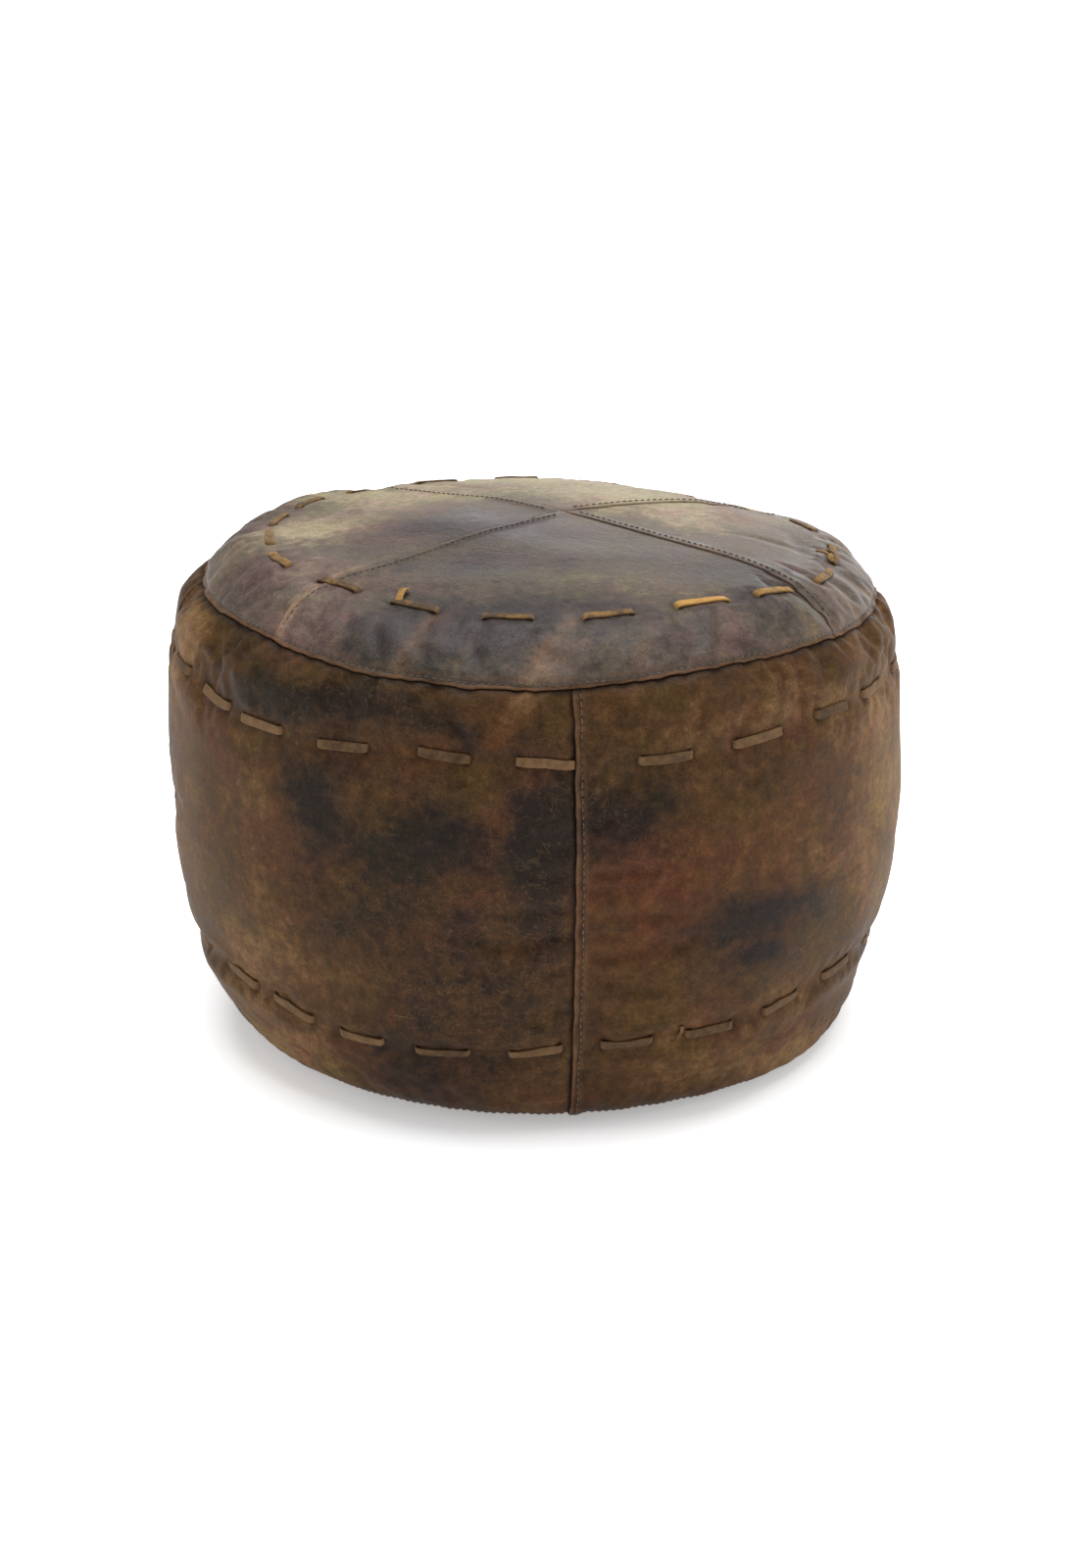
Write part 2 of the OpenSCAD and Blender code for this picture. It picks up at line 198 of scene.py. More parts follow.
def shell(name, outer, inner, values=None, closed=False, flip=False):
    """A thin solid between two grids of points; values are grids that both faces share."""
    faces = shell_faces(*outer.shape[:2], closed)
    if flip:
        faces = faces[:, ::-1]
    points = np.vstack([outer.reshape(-1, 3), inner.reshape(-1, 3)])
    doubled = {k: np.concatenate([np.ravel(v), np.ravel(v)]) for k, v in (values or {}).items()}
    return make_object(name, points, faces, doubled)


def settle(piece, nodes, material, body="cover"):
    """Material, body and hidden CAD nodes of a finished piece."""
    piece.data.materials.clear()
    piece.data.materials.append(material)
    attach(piece, body)
    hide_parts(*nodes)
    return piece

# ---------------------------------------------------------------- the half section


def meet(a, ra, b, rb):
    """The crossing of two circles with centres a and b that lies to the left of the way from a to b."""
    d = b - a
    n = float(np.hypot(*d))
    s = (ra * ra - rb * rb + n * n) / (2.0 * n)
    return a + d * s / n + np.array([-d[1], d[0]]) * math.sqrt(ra * ra - s * s) / n


def aim(a, b):
    """The angle of the way from a to b."""
    return math.atan2(b[1] - a[1], b[0] - a[0])


BELLY_CENTRE = np.array([RADIUS - BELLY_CURVE, BELLY_HEIGHT])
DOME_CENTRE = np.array([0.0, HEIGHT - DOME_CURVE])
SHOULDER_CENTRE = meet(BELLY_CENTRE, BELLY_CURVE - SHOULDER_ROUND, DOME_CENTRE, DOME_CURVE - SHOULDER_ROUND)
BASE_CENTRE = np.array([
    BELLY_CENTRE[0] + math.sqrt((BELLY_CURVE - BASE_ROUND) ** 2 - (BELLY_HEIGHT - BASE_ROUND) ** 2),
    BASE_ROUND,
])
BELLY_LOW = aim(BELLY_CENTRE, BASE_CENTRE)
BELLY_HIGH = aim(BELLY_CENTRE, SHOULDER_CENTRE)
SHOULDER_HIGH = aim(DOME_CENTRE, SHOULDER_CENTRE)
RIM_ANGLE = math.acos((RIM_RADIUS - SHOULDER_CENTRE[0]) / SHOULDER_ROUND)
BASE_SEAM_ANGLE = -math.acos((BASE_SEAM_RADIUS - BASE_CENTRE[0]) / BASE_ROUND)

# Lengths along the section from the middle of the seat to the end of each arc
S_DOME = DOME_CURVE * (math.pi / 2 - SHOULDER_HIGH)
S_SHOULDER = S_DOME + SHOULDER_ROUND * (SHOULDER_HIGH - BELLY_HIGH)
S_BELLY = S_SHOULDER + BELLY_CURVE * (BELLY_HIGH - BELLY_LOW)
S_BEND = S_BELLY + BASE_ROUND * (BELLY_LOW + math.pi / 2)
S_END = S_BEND + BASE_CENTRE[0]
S_RIM = S_DOME + SHOULDER_ROUND * (SHOULDER_HIGH - RIM_ANGLE)
S_BASE_SEAM = S_BELLY + BASE_ROUND * (BELLY_LOW - BASE_SEAM_ANGLE)


def section(s):
    """Radius, height and slope angle of the outward normal at a length along the half section."""
    s = np.asarray(s, float)
    rules = (
        (s < S_DOME, DOME_CENTRE, DOME_CURVE, math.pi / 2, 0.0),
        (s < S_SHOULDER, SHOULDER_CENTRE, SHOULDER_ROUND, SHOULDER_HIGH, S_DOME),
        (s < S_BELLY, BELLY_CENTRE, BELLY_CURVE, BELLY_HIGH, S_SHOULDER),
        (s < S_BEND, BASE_CENTRE, BASE_ROUND, BELLY_LOW, S_BELLY),
    )
    angle = np.full(s.shape, -math.pi / 2)
    r = S_END - s
    z = np.zeros(s.shape)
    for inside, centre, radius, start, begin in reversed(rules):
        a = start - (s - begin) / radius
        angle = np.where(inside, a, angle)
        r = np.where(inside, centre[0] + radius * np.cos(a), r)
        z = np.where(inside, centre[1] + radius * np.sin(a), z)
    return r, z, angle


def s_on_seat(r):
    """Length along the section at a radius of the seat; the next two do it for the base and the side."""
    on_dome = DOME_CURVE * np.arcsin(np.clip(r / DOME_CURVE, 0.0, 1.0))
    bend = np.arccos(np.clip((r - SHOULDER_CENTRE[0]) / SHOULDER_ROUND, -1.0, 1.0))
    return np.where(on_dome < S_DOME, on_dome, S_DOME + SHOULDER_ROUND * (SHOULDER_HIGH - bend))


def s_on_base(r):
    bend = -np.arccos(np.clip((r - BASE_CENTRE[0]) / BASE_ROUND, -1.0, 1.0))
    return np.where(r < BASE_CENTRE[0], S_END - r, S_BELLY + BASE_ROUND * (BELLY_LOW - bend))


def s_on_side(z):
    return S_SHOULDER + BELLY_CURVE * (BELLY_HIGH - math.asin((z - BELLY_HEIGHT) / BELLY_CURVE))


def on_section(a, s):
    """Points and outward normals of the regular shape."""
    r, z, angle = section(s)
    point = np.stack([r * np.sin(a), -r * np.cos(a), z], -1)
    normal = np.stack([np.cos(angle) * np.sin(a), -np.cos(angle) * np.cos(a), np.sin(angle)], -1)
    return point, normal


S_SEAT_LACE = float(s_on_seat(SEAT_LACE_RADIUS))
S_UPPER_LACE = s_on_side(UPPER_LACE_HEIGHT)
S_LOWER_LACE = s_on_side(LOWER_LACE_HEIGHT)

# Hand-made irregularities: azimuth in degrees and mm. A row of lacing drifts away from the seat's middle
# where the value is above 0, and the rim rises where it is above 0.
SEAT_DRIFT = ((-150, 0), (-82, -3), (-63, 9), (-43, -6), (-24, -5), (-5, 0), (14, 0), (32, 2), (50, 12),
              (68, 18), (84, 17), (100, 12), (130, 0))
UPPER_DRIFT = ((-100, 0), (-68, -8), (-55, 1), (-43, 6), (-29, 4), (-13, -3), (1, 1), (19, 6), (34, 5),
               (49, -2), (62, -1), (80, 0), (140, 3))
LOWER_DRIFT = ((-90, 2), (-75, -3), (-60, -11), (-50, -12), (-40, -1), (-27, 4), (-14, 7), (0, 5), (14, 2),
               (27, -3), (41, -3), (57, -11), (74, -3), (100, 0), (160, 4))
RIM_RISE = ((-170, 0), (-155, 0), (-144, 2), (-134, 6), (-124, 10), (-112, 8), (-98, 5), (-84, 8),
            (-65, 10), (-54, 10), (-46, 9), (-40, 7), (-34, 0), (-26, 0), (-14, -1), (-7, -3), (0, -2),
            (10, 0), (24, 3), (38, 5), (50, 2), (61, -1), (74, -2), (86, -5), (98, 1), (112, 2), (122, -1),
            (132, -6), (148, -9), (156, -2), (165, 0))


def section_grid(count, lengths):
    """Azimuths and lengths of a grid whose first axis goes round the pouf."""
    return np.meshgrid(full_turn(count), lengths, indexing="ij")


def drift(table, a):
    """The value of one of these tables, in metres, softened over a few degrees."""
    places, values = zip(*table)
    degrees = np.degrees(a)
    near = [np.interp(degrees + d, places, values, period=360) for d in (-9, -6, -3, 0, 3, 6, 9)]
    return np.mean(near, axis=0) * MM


def lace_rows(a):
    """Length along the section of each of the three rows of lacing at an azimuth."""
    return (
        S_SEAT_LACE + drift(SEAT_DRIFT, a),
        S_UPPER_LACE + drift(UPPER_DRIFT, a),
        S_LOWER_LACE + drift(LOWER_DRIFT, a),
    )


def beside_seam(x, y, angle):
    """How far places in plan lie along the seat seam that leaves the cross at an azimuth, and beside it."""
    px, py = x - CROSS[0], y - CROSS[1]
    return px * math.sin(angle) - py * math.cos(angle), px * math.cos(angle) + py * math.sin(angle)


def in_plan(a, s):
    r = section(s)[0]
    return r * np.sin(a), -r * np.cos(a)


# ---------------------------------------------------------------- the stuffed shape

SKIN_AZIMUTHS = 720
SKIN_STEP = 3 * MM
CLOTH_AZIMUTHS = 264
CLOTH_STEP = 6.6 * MM
CLOTH_FROM = 60 * MM
CLOTH_FRAMES = 22
CLOTH_CAP = 9 * MM
CLOTH_SETTINGS = {
    "quality": 5, "mass": 0.25, "tension_stiffness": 25.0, "compression_stiffness": 25.0,
    "shear_stiffness": 8.0, "bending_stiffness": 0.6, "air_damping": 2.0,
    "use_pressure": True, "uniform_pressure_force": 4.0,
    "vertex_group_mass": "pin", "vertex_group_shrink": "ease", "shrink_min": -0.035, "shrink_max": 0.02,
}
# The cloth's even swelling is mostly left out, and its folds are weaker on the seat
EVEN_SHARE_OUT = 0.75
SEAT_FOLDS_OUT = 0.4


def seam_weight(a, s):
    """1 on the seams and lacing rows, where the thread holds the cover in, and 0 between them."""
    held = np.maximum(hump(s, S_RIM, 5 * MM), hump(s, S_BASE_SEAM, 6 * MM))
    for row in lace_rows(a):
        held = np.maximum(held, 0.5 * hump(s, row, 6 * MM))
    upright = np.zeros(s.shape)
    r = section(s)[0]
    for i in range(4):
        upright = np.maximum(upright, hump(turn(a, SIDE_SEAM + 90 * i) * r, 0.0, 7 * MM))
    held = np.maximum(held, upright * (s > S_RIM))
    for seam in SEAT_SEAMS:
        along, across = beside_seam(*in_plan(a, s), math.radians(seam))
        held = np.maximum(held, np.where((along > 0) & (s < S_RIM), 0.35 * hump(across, 0.0, 9 * MM), 0.0))
    return held


def cloth_object(a, s, start):
    """The cover as a cloth mesh, pinned at its ends and held in at its seams."""
    size = start.shape[:2]
    index = vertex_grid(*size)
    mesh = bpy.data.meshes.new("cover_cloth")
    mesh.from_pydata(start.reshape(-1, 3).tolist(), [], grid_quads(vertex_grid(*size, True)).tolist())
    cover = add_object("cover_cloth", mesh)
    pin = cover.vertex_groups.new(name="pin")
    ease = cover.vertex_groups.new(name="ease")
    fixed = (s < CLOTH_FROM + 1.5 * CLOTH_STEP) | (s > S_BASE_SEAM - CLOTH_STEP)
    pin.add(index[fixed].ravel().tolist(), 1.0, "REPLACE")
    tenths = np.round(seam_weight(a, s) * 10).astype(int)
    for level in range(1, 11):
        chosen = index[tenths == level]
        if len(chosen):
            ease.add(chosen.ravel().tolist(), level / 10.0, "REPLACE")
    cloth = cover.modifiers.new("Cloth", "CLOTH")
    for key, value in CLOTH_SETTINGS.items():
        setattr(cloth.settings, key, value)
    cloth.settings.effector_weights.gravity = 0.0
    cloth.point_cache.frame_start = 1
    cloth.point_cache.frame_end = CLOTH_FRAMES
    return cover


def simulate_cover():
    """Blows the sewn cover up with Blender's cloth; returns its movement on a grid of azimuth and length."""
    lengths = np.arange(CLOTH_FROM, S_BEND + CLOTH_STEP, CLOTH_STEP)
    a, s = section_grid(CLOTH_AZIMUTHS, lengths)
    start = on_section(a, s)[0]
    cover = cloth_object(a, s, start)
    scene = bpy.context.scene
    for frame_number in range(1, CLOTH_FRAMES + 1):
        scene.frame_set(frame_number)
    shaped = cover.evaluated_get(bpy.context.evaluated_depsgraph_get())
    points = np.zeros(start.size, np.float32)
    shaped.data.vertices.foreach_get("co", points)
    moved = points.reshape(start.shape).astype(float) - start
    mesh = cover.data
    bpy.data.objects.remove(cover)
    bpy.data.meshes.remove(mesh)
    scene.frame_set(1)
    far = np.linalg.norm(moved, axis=-1, keepdims=True)
    moved *= np.minimum(1.0, CLOTH_CAP / np.maximum(far, 1e-9))
    return moved, lengths


def cubic(position):
    """The cells that fractional positions lie in, and the Catmull-Rom shares of the four nearest values."""
    low = np.floor(position).astype(int)
    t = position - low
    shares = (
        ((-t + 2.0) * t - 1.0) * t / 2.0,
        ((3.0 * t - 5.0) * t * t + 2.0) / 2.0,
        ((-3.0 * t + 4.0) * t + 1.0) * t / 2.0,
        (t - 1.0) * t * t / 2.0,
    )
    return low, shares


def read_grid(grid, at_azimuth, at_length):
    """Smooth reading of a grid whose first axis goes round and second axis runs along the section."""
    la, wa = cubic(at_azimuth)
    ls, ws = cubic(at_length)
    last = grid.shape[1] - 1
    total = 0.0
    for i in range(4):
        ia = (la + i - 1) % grid.shape[0]
        for j in range(4):
            js = np.clip(ls + j - 1, 0, last)
            total = total + (wa[i] * ws[j])[..., None] * grid[ia, js]
    return total


# Long soft creases: azimuth and radius or height in mm of both ends, width and depth in mm.
# One degree of azimuth is about this many mm on the outer seat and on the side.
SEAT_DEGREE = 3.8
SIDE_DEGREE = 4.7
SEAT_CREASES = (
    (-72, 196, -118, 170, 7, 1.6), (-66, 178, -112, 150, 6, 1.2), (-80, 226, -140, 205, 8, 1.5),
    (-98, 140, -128, 182, 6, 1.0), (60, 212, 96, 190, 7, 1.2), (-20, 232, 8, 222, 6, 1.0),
    (150, 215, 200, 190, 9, 1.5), (-160, 130, -150, 205, 8, 1.2), (112, 150, 150, 196, 7, 1.0),
    (20, 226, 40, 236, 6, 0.9), (-44, 226, -30, 236, 5, 0.9), (84, 150, 80, 208, 8, 1.0),
    (-96, 196, -140, 176, 2.2, 0.7), (-100, 208, -146, 196, 2.4, 0.8), (-92, 168, -128, 158, 2.2, 0.6),
    (-104, 222, -150, 214, 2.6, 0.8), (-86, 152, -112, 128, 2.0, 0.5), (-110, 186, -168, 178, 2.2, 0.6),
    (-78, 210, -92, 190, 2.4, 0.6), (128, 214, 160, 204, 2.4, 0.7), (140, 190, 175, 184, 2.2, 0.6),
)
SIDE_CREASES = (
    (-72, 318, -58, 305, 6, 1.5), (-62, 322, -66, 280, 5, 1.2), (-50, 318, -52, 296, 5, 1.2),
    (-80, 300, -64, 262, 7, 1.3), (-24, 316, -18, 286, 6, 1.1), (-34, 312, -36, 292, 5, 0.9),
    (70, 312, 62, 286, 6, 1.2), (52, 316, 47, 296, 5, 0.9), (30, 315, 33, 296, 5, 0.8),
    (-60, 110, -40, 88, 8, 0.9), (20, 120, 42, 98, 8, 0.8), (-96, 120, -70, 60, 12, 1.4),
    (120, 312, 128, 280, 6, 1.2), (165, 316, 160, 288, 6, 1.1), (-130, 316, -138, 284, 6, 1.2),
    (140, 90, 170, 66, 9, 1.0), (-150, 96, -120, 70, 9, 1.0), (88, 240, 84, 190, 10, 0.8),
)


# Where the side bulges or draws in: azimuth, half width in radians, height and half height in mm, and how
# many mm outwards
OUTLINE_BUMPS = (
    (-90, 0.6, 285, 45, 5.5), (88, 0.7, 205, 70, -3.5), (-66, 0.6, 24, 24, -5.0),
    (76, 0.45, 58, 34, -6.5), (50, 0.4, 8, 14, 7.0),
)


def to_stroke(u, v, ends):
    """Distance to a line between two ends, and how far along it (0 to 1) the nearest place lies."""
    ax, ay, bx, by = ends
    length2 = (bx - ax) ** 2 + (by - ay) ** 2
    t = np.clip(((u - ax) * (bx - ax) + (v - ay) * (by - ay)) / length2, 0.0, 1.0)
    return np.hypot(u - ax - t * (bx - ax), v - ay - t * (by - ay)), t


def crease_depth(degrees, v, creases, scale):
    """Depth in mm of the soft creases; scale is the number of mm in a degree."""
    depth = np.zeros(np.shape(v))
    for u0, v0, u1, v1, width, deep in creases:
        away, t = to_stroke(degrees * scale, v, (u0 * scale, v0, u1 * scale, v1))
        fade = np.sin(np.pi * (0.12 + 0.76 * t))
        depth += deep * fade * (1.25 * hump(away, 0.0, width) - 0.5 * hump(away, 0.0, 2.2 * width))
    return depth


def seat_rise(a, s):
    """How far the uneven rim and the full front left of the seat stand up."""
    r, z, _ = section(s)
    above = smooth(235 * MM, 330 * MM, z)
    seat = smooth(S_RIM + 60 * MM, S_RIM - 30 * MM, s)
    near_rim = smooth(150 * MM, 235 * MM, r)
    up = above * near_rim * drift(RIM_RISE, a)
    up -= above * 2.0 * MM * np.clip(-np.cos(a), 0, 1) * smooth(60 * MM, 220 * MM, r)
    full = smooth(120 * MM, 190 * MM, r) * smooth(252 * MM, 215 * MM, r) * (s < S_RIM)
    return up + seat * full * (1.0 * MM + 2.0 * MM * np.cos(turn(a, -30.0)))


def side_push(a, z):
    """How far the uneven side stands outwards."""
    out = -8.0 * MM * hump(turn(a, -78), 0.0, 0.6) * smooth(315 * MM, 340 * MM, z)
    for azimuth, width, height, tall, outwards in OUTLINE_BUMPS:
        out += outwards * MM * hump(turn(a, azimuth), 0.0, width) * hump(z, height * MM, tall * MM)
    return out * smooth(0.0, 6 * MM, z)


def skin_bulge(a, s, point):
    """How far lumps, pleats, creases and drawn-in seams lie outside the regular shape."""
    r, z, _ = section(s)
    degrees = np.degrees(turn(a, 0.0))
    bulge = 2.2 * MM * SWELL.at(point, 95 * MM) + 1.0 * MM * SWELL.at(point + 3.0, 42 * MM)
    bulge *= smooth(0.0, 45 * MM, z)
    # radial pleats that gather at the rim and die out within a few centimetres
    ring = np.stack([np.cos(a) * RADIUS, np.sin(a) * RADIUS, 0.16 * s], -1)
    pleat = CREASE.at(ring, 9 * MM) + 0.6 * CREASE.at(ring + 1.0, 17 * MM)
    below_rim = hump(s, S_RIM + 14 * MM, 15 * MM)
    above_rim = hump(s, S_RIM - 16 * MM, 14 * MM)
    by_base = hump(s, S_BASE_SEAM - 12 * MM, 14 * MM)
    bulge += pleat * MM * (0.65 * below_rim + 0.25 * above_rim + 0.6 * by_base)
    for row, groove in zip(lace_rows(a), (0.5, 1.0, 1.0)):
        bulge += 0.35 * MM * pleat * hump(s, row, 16 * MM)
        bulge -= groove * MM * hump(s, row, 8 * MM)
    seat_creases = crease_depth(degrees, r / MM, SEAT_CREASES, SEAT_DEGREE)
    side_creases = crease_depth(degrees, z / MM, SIDE_CREASES, SIDE_DEGREE)
    bulge -= MM * np.where(s < S_RIM, seat_creases, side_creases)
    bulge -= 2.6 * MM * hump(s, S_RIM + 1.5 * MM, 5 * MM) + 1.6 * MM * hump(s, S_BASE_SEAM, 5 * MM)
    # the filling pushes the side out between the rows of lacing
    return bulge + 1.2 * MM * hump(s, 0.5 * (S_RIM + S_UPPER_LACE), 10 * MM)


class Skin:
    """The outside of the stuffed cover, by azimuth (radians) and length from the seat's middle."""

    def __init__(self, cloth):
        lengths = np.linspace(0.0, S_END, int(S_END / SKIN_STEP))
        a, s = section_grid(SKIN_AZIMUTHS, lengths)
        point, normal = on_section(a, s)
        flat = np.stack([np.sin(a), -np.cos(a), np.zeros(a.shape)], -1)
        grid = point + normal * skin_bulge(a, s, point)[..., None]
        grid += flat * side_push(a, point[..., 2])[..., None]
        grid[..., 2] += seat_rise(a, s)
        if cloth is not None:
            moved, rows = cloth
            inside = smooth(CLOTH_FROM + 25 * MM, CLOTH_FROM + 100 * MM, s)
            inside *= smooth(S_BASE_SEAM, S_BASE_SEAM - 55 * MM, s) * (1.0 - SEAT_FOLDS_OUT * (s < S_RIM))
            at_azimuth = a / (2.0 * math.pi) * CLOTH_AZIMUTHS
            at_row = np.clip((s - rows[0]) / CLOTH_STEP, 0, len(rows) - 1)
            shift = read_grid(moved - EVEN_SHARE_OUT * moved_mean(moved), at_azimuth, at_row)
            grid += shift * inside[..., None]
        grid[..., 2] = np.maximum(grid[..., 2], 0.0)
        grid[:, 0] = grid[:, 0].mean(axis=0)
        self.grid = grid
        self.step = lengths[1] - lengths[0]
        self.normals = self.make_normals(normal)

    def make_normals(self, rest):
        """Unit normals of the grid; where it has none, as in its middle, those of the regular shape."""
        g = self.grid
        along = np.gradient(g, axis=1)
        around = np.roll(g, -1, axis=0) - np.roll(g, 1, axis=0)
        n = np.cross(along, around)
        size = np.linalg.norm(n, axis=-1, keepdims=True)
        n = np.where(size > 1e-12, n / np.maximum(size, 1e-12), rest)
        n = np.where((n * rest).sum(-1, keepdims=True) < 0, -n, n)
        n[:, :2] = n[:, 2].mean(axis=0)
        return unit(n)

    def place(self, a, s, height=0.0):
        """Points at a height above the skin, and the skin's normals there."""
        a, s = np.broadcast_arrays(np.asarray(a, float), np.asarray(s, float))
        at_azimuth = a / (2.0 * math.pi) * SKIN_AZIMUTHS
        at_length = s / self.step
        point = read_grid(self.grid, at_azimuth, at_length)
        normal = unit(read_grid(self.normals, at_azimuth, at_length))
        return point + normal * np.asarray(height)[..., None], normal


def moved_mean(moved):
    """The even part of the swelling, as a movement straight out and up at each row."""
    azimuths = full_turn(moved.shape[0])
    flat = np.stack([np.sin(azimuths), -np.cos(azimuths)], -1)[:, None, :]
    out = (moved[..., :2] * flat).sum(-1).mean(axis=0)
    even = np.zeros(moved.shape)
    even[..., :2] = flat * out[None, :, None]
    even[..., 2] = moved[..., 2].mean(axis=0)
    return even


skin = Skin(simulate_cover())

# ---------------------------------------------------------------- lacing plan


def lace_plan(count, start, shifts, seed):
    """Middle azimuth in degrees, half length, slant and tone of each stitch; shifts are in degrees."""
    rng = np.random.default_rng(seed)
    middles = start + np.arange(count) * 360.0 / count
    for i, shift in shifts.items():
        middles[i % count] += shift
    half = 0.5 * STITCH_LENGTH * rng.uniform(0.90, 1.04, count)
    slant = rng.uniform(-1.3, 1.3, count) * MM
    tone = rng.uniform(0.15, 0.75, count)
    return middles, half, slant, tone


SEAT_PLAN = lace_plan(SEAT_STITCHES, -5.0, {-4: -1.2, -3: -1.2, 3: -1.8, 4: -1.8, 5: -4, 6: -3}, 3)
UPPER_PLAN = lace_plan(
    UPPER_STITCHES, 1.5,
    {-6: 3, -5: 5.5, -4: 4, -3: 0.5, -1: 0.5, 1: 2.5, 2: 2.5, 3: 2.5, 4: 0.5, 5: 1.5}, 4)
LOWER_PLAN = lace_plan(
    LOWER_STITCHES, 0.07,
    {-6: -3, -5: -5.5, -4: -1.1, -3: -1.5, -2: -1.4, -1: -1.2, 1: 1.1, 2: 1.2, 3: 2.4, 4: 4.5, 5: 8,
     6: 5, 7: 2}, 6)
LACE_PLANS = (SEAT_PLAN, UPPER_PLAN, LOWER_PLAN)
LACE_MIDDLES = (S_SEAT_LACE, S_UPPER_LACE, S_LOWER_LACE)


def row_radius(s):
    return float(section(s)[0])


# How far from a row its slits are felt, how deep the lace draws the leather in at each slit, and half the
# length and half the height of the dent and of the painted shade there
SLIT_REACH = 22 * MM
SLIT_PULL = 1.6 * MM
DENT_SIZE = (4.0 * MM, 6.0 * MM)
SLIT_SHADE_SIZE = (1.9 * MM, 4.4 * MM)


def blot(x, y, size):
    return np.exp(-((x / size[0]) ** 2) - (y / size[1]) ** 2)


def slit_dents(a, s):
    """How far the skin is drawn in round each slit, and how much shade is painted there."""
    dent = np.zeros(a.shape)
    dark = np.zeros(a.shape)
    for drawn, middle_row, plan in zip(lace_rows(a), LACE_MIDDLES, LACE_PLANS):
        near = np.abs(s - drawn) < SLIT_REACH
        if not near.any():
            continue
        r = row_radius(middle_row)
        aa, ss = a[near], s[near] - drawn[near]
        pull = np.zeros(aa.shape)
        # stain holds painted shade at both ends of each stitch, where the lace goes into its slit
        stain = np.zeros(aa.shape)
        for middle, half, slant, _ in zip(*plan):
            for side in (-1, 1):
                x = turn(aa, middle) * r - side * half
                y = ss - side * slant
                pull += SLIT_PULL * blot(x, y, DENT_SIZE)
                stain += blot(x, y, SLIT_SHADE_SIZE)
        dent[near] += pull
        dark[near] = np.maximum(dark[near], np.minimum(stain, 1.0))
    return dent, dark


# ---------------------------------------------------------------- leather tones

# Soft patches of the side: azimuth, height in mm, half width in degrees, half height in mm,
# and tone, where tan is above 0; mostly the leather's own tone, with painted light low on the belly and on
# the right-hand edge
SIDE_TONE_AND_LIGHT_PATCHES = (
    (-33, 238, 7, 30, -1.1), (-15, 230, 8, 26, -0.9), (1, 226, 5, 46, -1.3), (-46, 215, 10, 50, 0.2),
    (-72, 300, 9, 34, 0.8), (-66, 170, 10, 80, 0.5), (-40, 120, 13, 30, 0.9), (-22, 170, 10, 30, 0.1),
    (-14, 160, 10, 34, -0.2), (14, 250, 9, 22, -0.7), (18, 225, 6, 20, -0.5), (33, 156, 14, 18, -1.1),
    (64, 165, 12, 40, 0.6), (70, 128, 8, 26, 0.5), (32, 118, 7, 10, -0.8), (28, 186, 9, 20, 0.1),
    (60, 255, 14, 44, 0.7),
    # (82, 230) is painted light on the right-hand edge
    (36, 290, 14, 14, 0.5), (82, 230, 8, 80, 0.9), (20, 90, 12, 40, 0.0), (46, 80, 14, 34, 0.25),
    (-20, 50, 12, 26, -0.4), (-52, 62, 14, 30, 0.4), (-24, 185, 10, 40, -0.5), (-30, 305, 12, 14, -0.5),
    (-8, 90, 12, 40, -0.3), (-11, 305, 10, 12, -0.7),
    # (50, 34) and (-50, 22) are painted light low on the belly
    (-40, 306, 10, 16, -0.6), (50, 34, 18, 22, 1.0), (-50, 22, 12, 16, 1.0), (-39, 50, 10, 22, 0.7),
    (28, 42, 12, 20, 0.35), (62, 205, 12, 20, 0.5), (0, 180, 4, 60, -0.6),
    (110, 240, 16, 50, 0.5), (140, 150, 18, 40, -0.7), (165, 235, 14, 40, 0.4), (-170, 130, 16, 50, -0.6),
    (-140, 220, 18, 50, 0.5), (-115, 140, 14, 50, -0.5), (-100, 250, 10, 40, 0.35), (-155, 280, 12, 24, -0.5),
)
RUST_PATCHES = (
    (18, 195, 10, 30, 0.9), (14, 150, 9, 40, 0.7), (-14, 296, 8, 14, 0.6), (-34, 175, 8, 40, 0.4),
    (40, 225, 12, 30, 0.5), (30, 60, 14, 24, 0.3), (-58, 262, 8, 20, 0.4), (120, 180, 14, 40, 0.7),
    (-130, 120, 16, 40, 0.6), (-165, 250, 12, 30, 0.6), (78, 120, 12, 34, 0.3),
)
# Soft patches of the seat: X and Y in mm, half sizes in mm, tone; partly the leather's own tone, partly
# painted sheen that darkens the front and lightens the back
SEAT_TONE_AND_SHEEN_PATCHES = (
    (0, -100, 80, 34, -0.2), (-70, -215, 70, 30, -1.3), (40, -205, 80, 36, -0.8), (150, -130, 44, 60, -0.7),
    (-185, -70, 40, 60, 0.2), (-30, -120, 60, 20, -0.5), (60, -150, 40, 24, 0.3),
    (100, 30, 50, 50, 0.8), (70, 120, 80, 70, 1.0), (-70, -10, 60, 44, -0.9),
    (-120, 120, 90, 70, 1.1), (150, 110, 60, 60, 0.3), (0, 190, 80, 40, 1.0), (-10, -50, 60, 40, -0.5),
    (-165, -10, 50, 40, 1.3), (-70, -220, 40, 26, -0.5), (80, 60, 40, 30, 0.3),
    (150, -30, 40, 40, 0.3), (210, -10, 24, 50, -0.3),
)
SEAT_RUST = (
    (-150, 20, 50, 50, 0.3), (90, -180, 40, 30, 0.3), (-110, -130, 40, 24, 0.3),
    (150, 60, 40, 60, 0.4), (-40, 130, 60, 30, 0.4), (60, 170, 60, 30, 0.3), (-40, -60, 40, 20, 0.3),
)
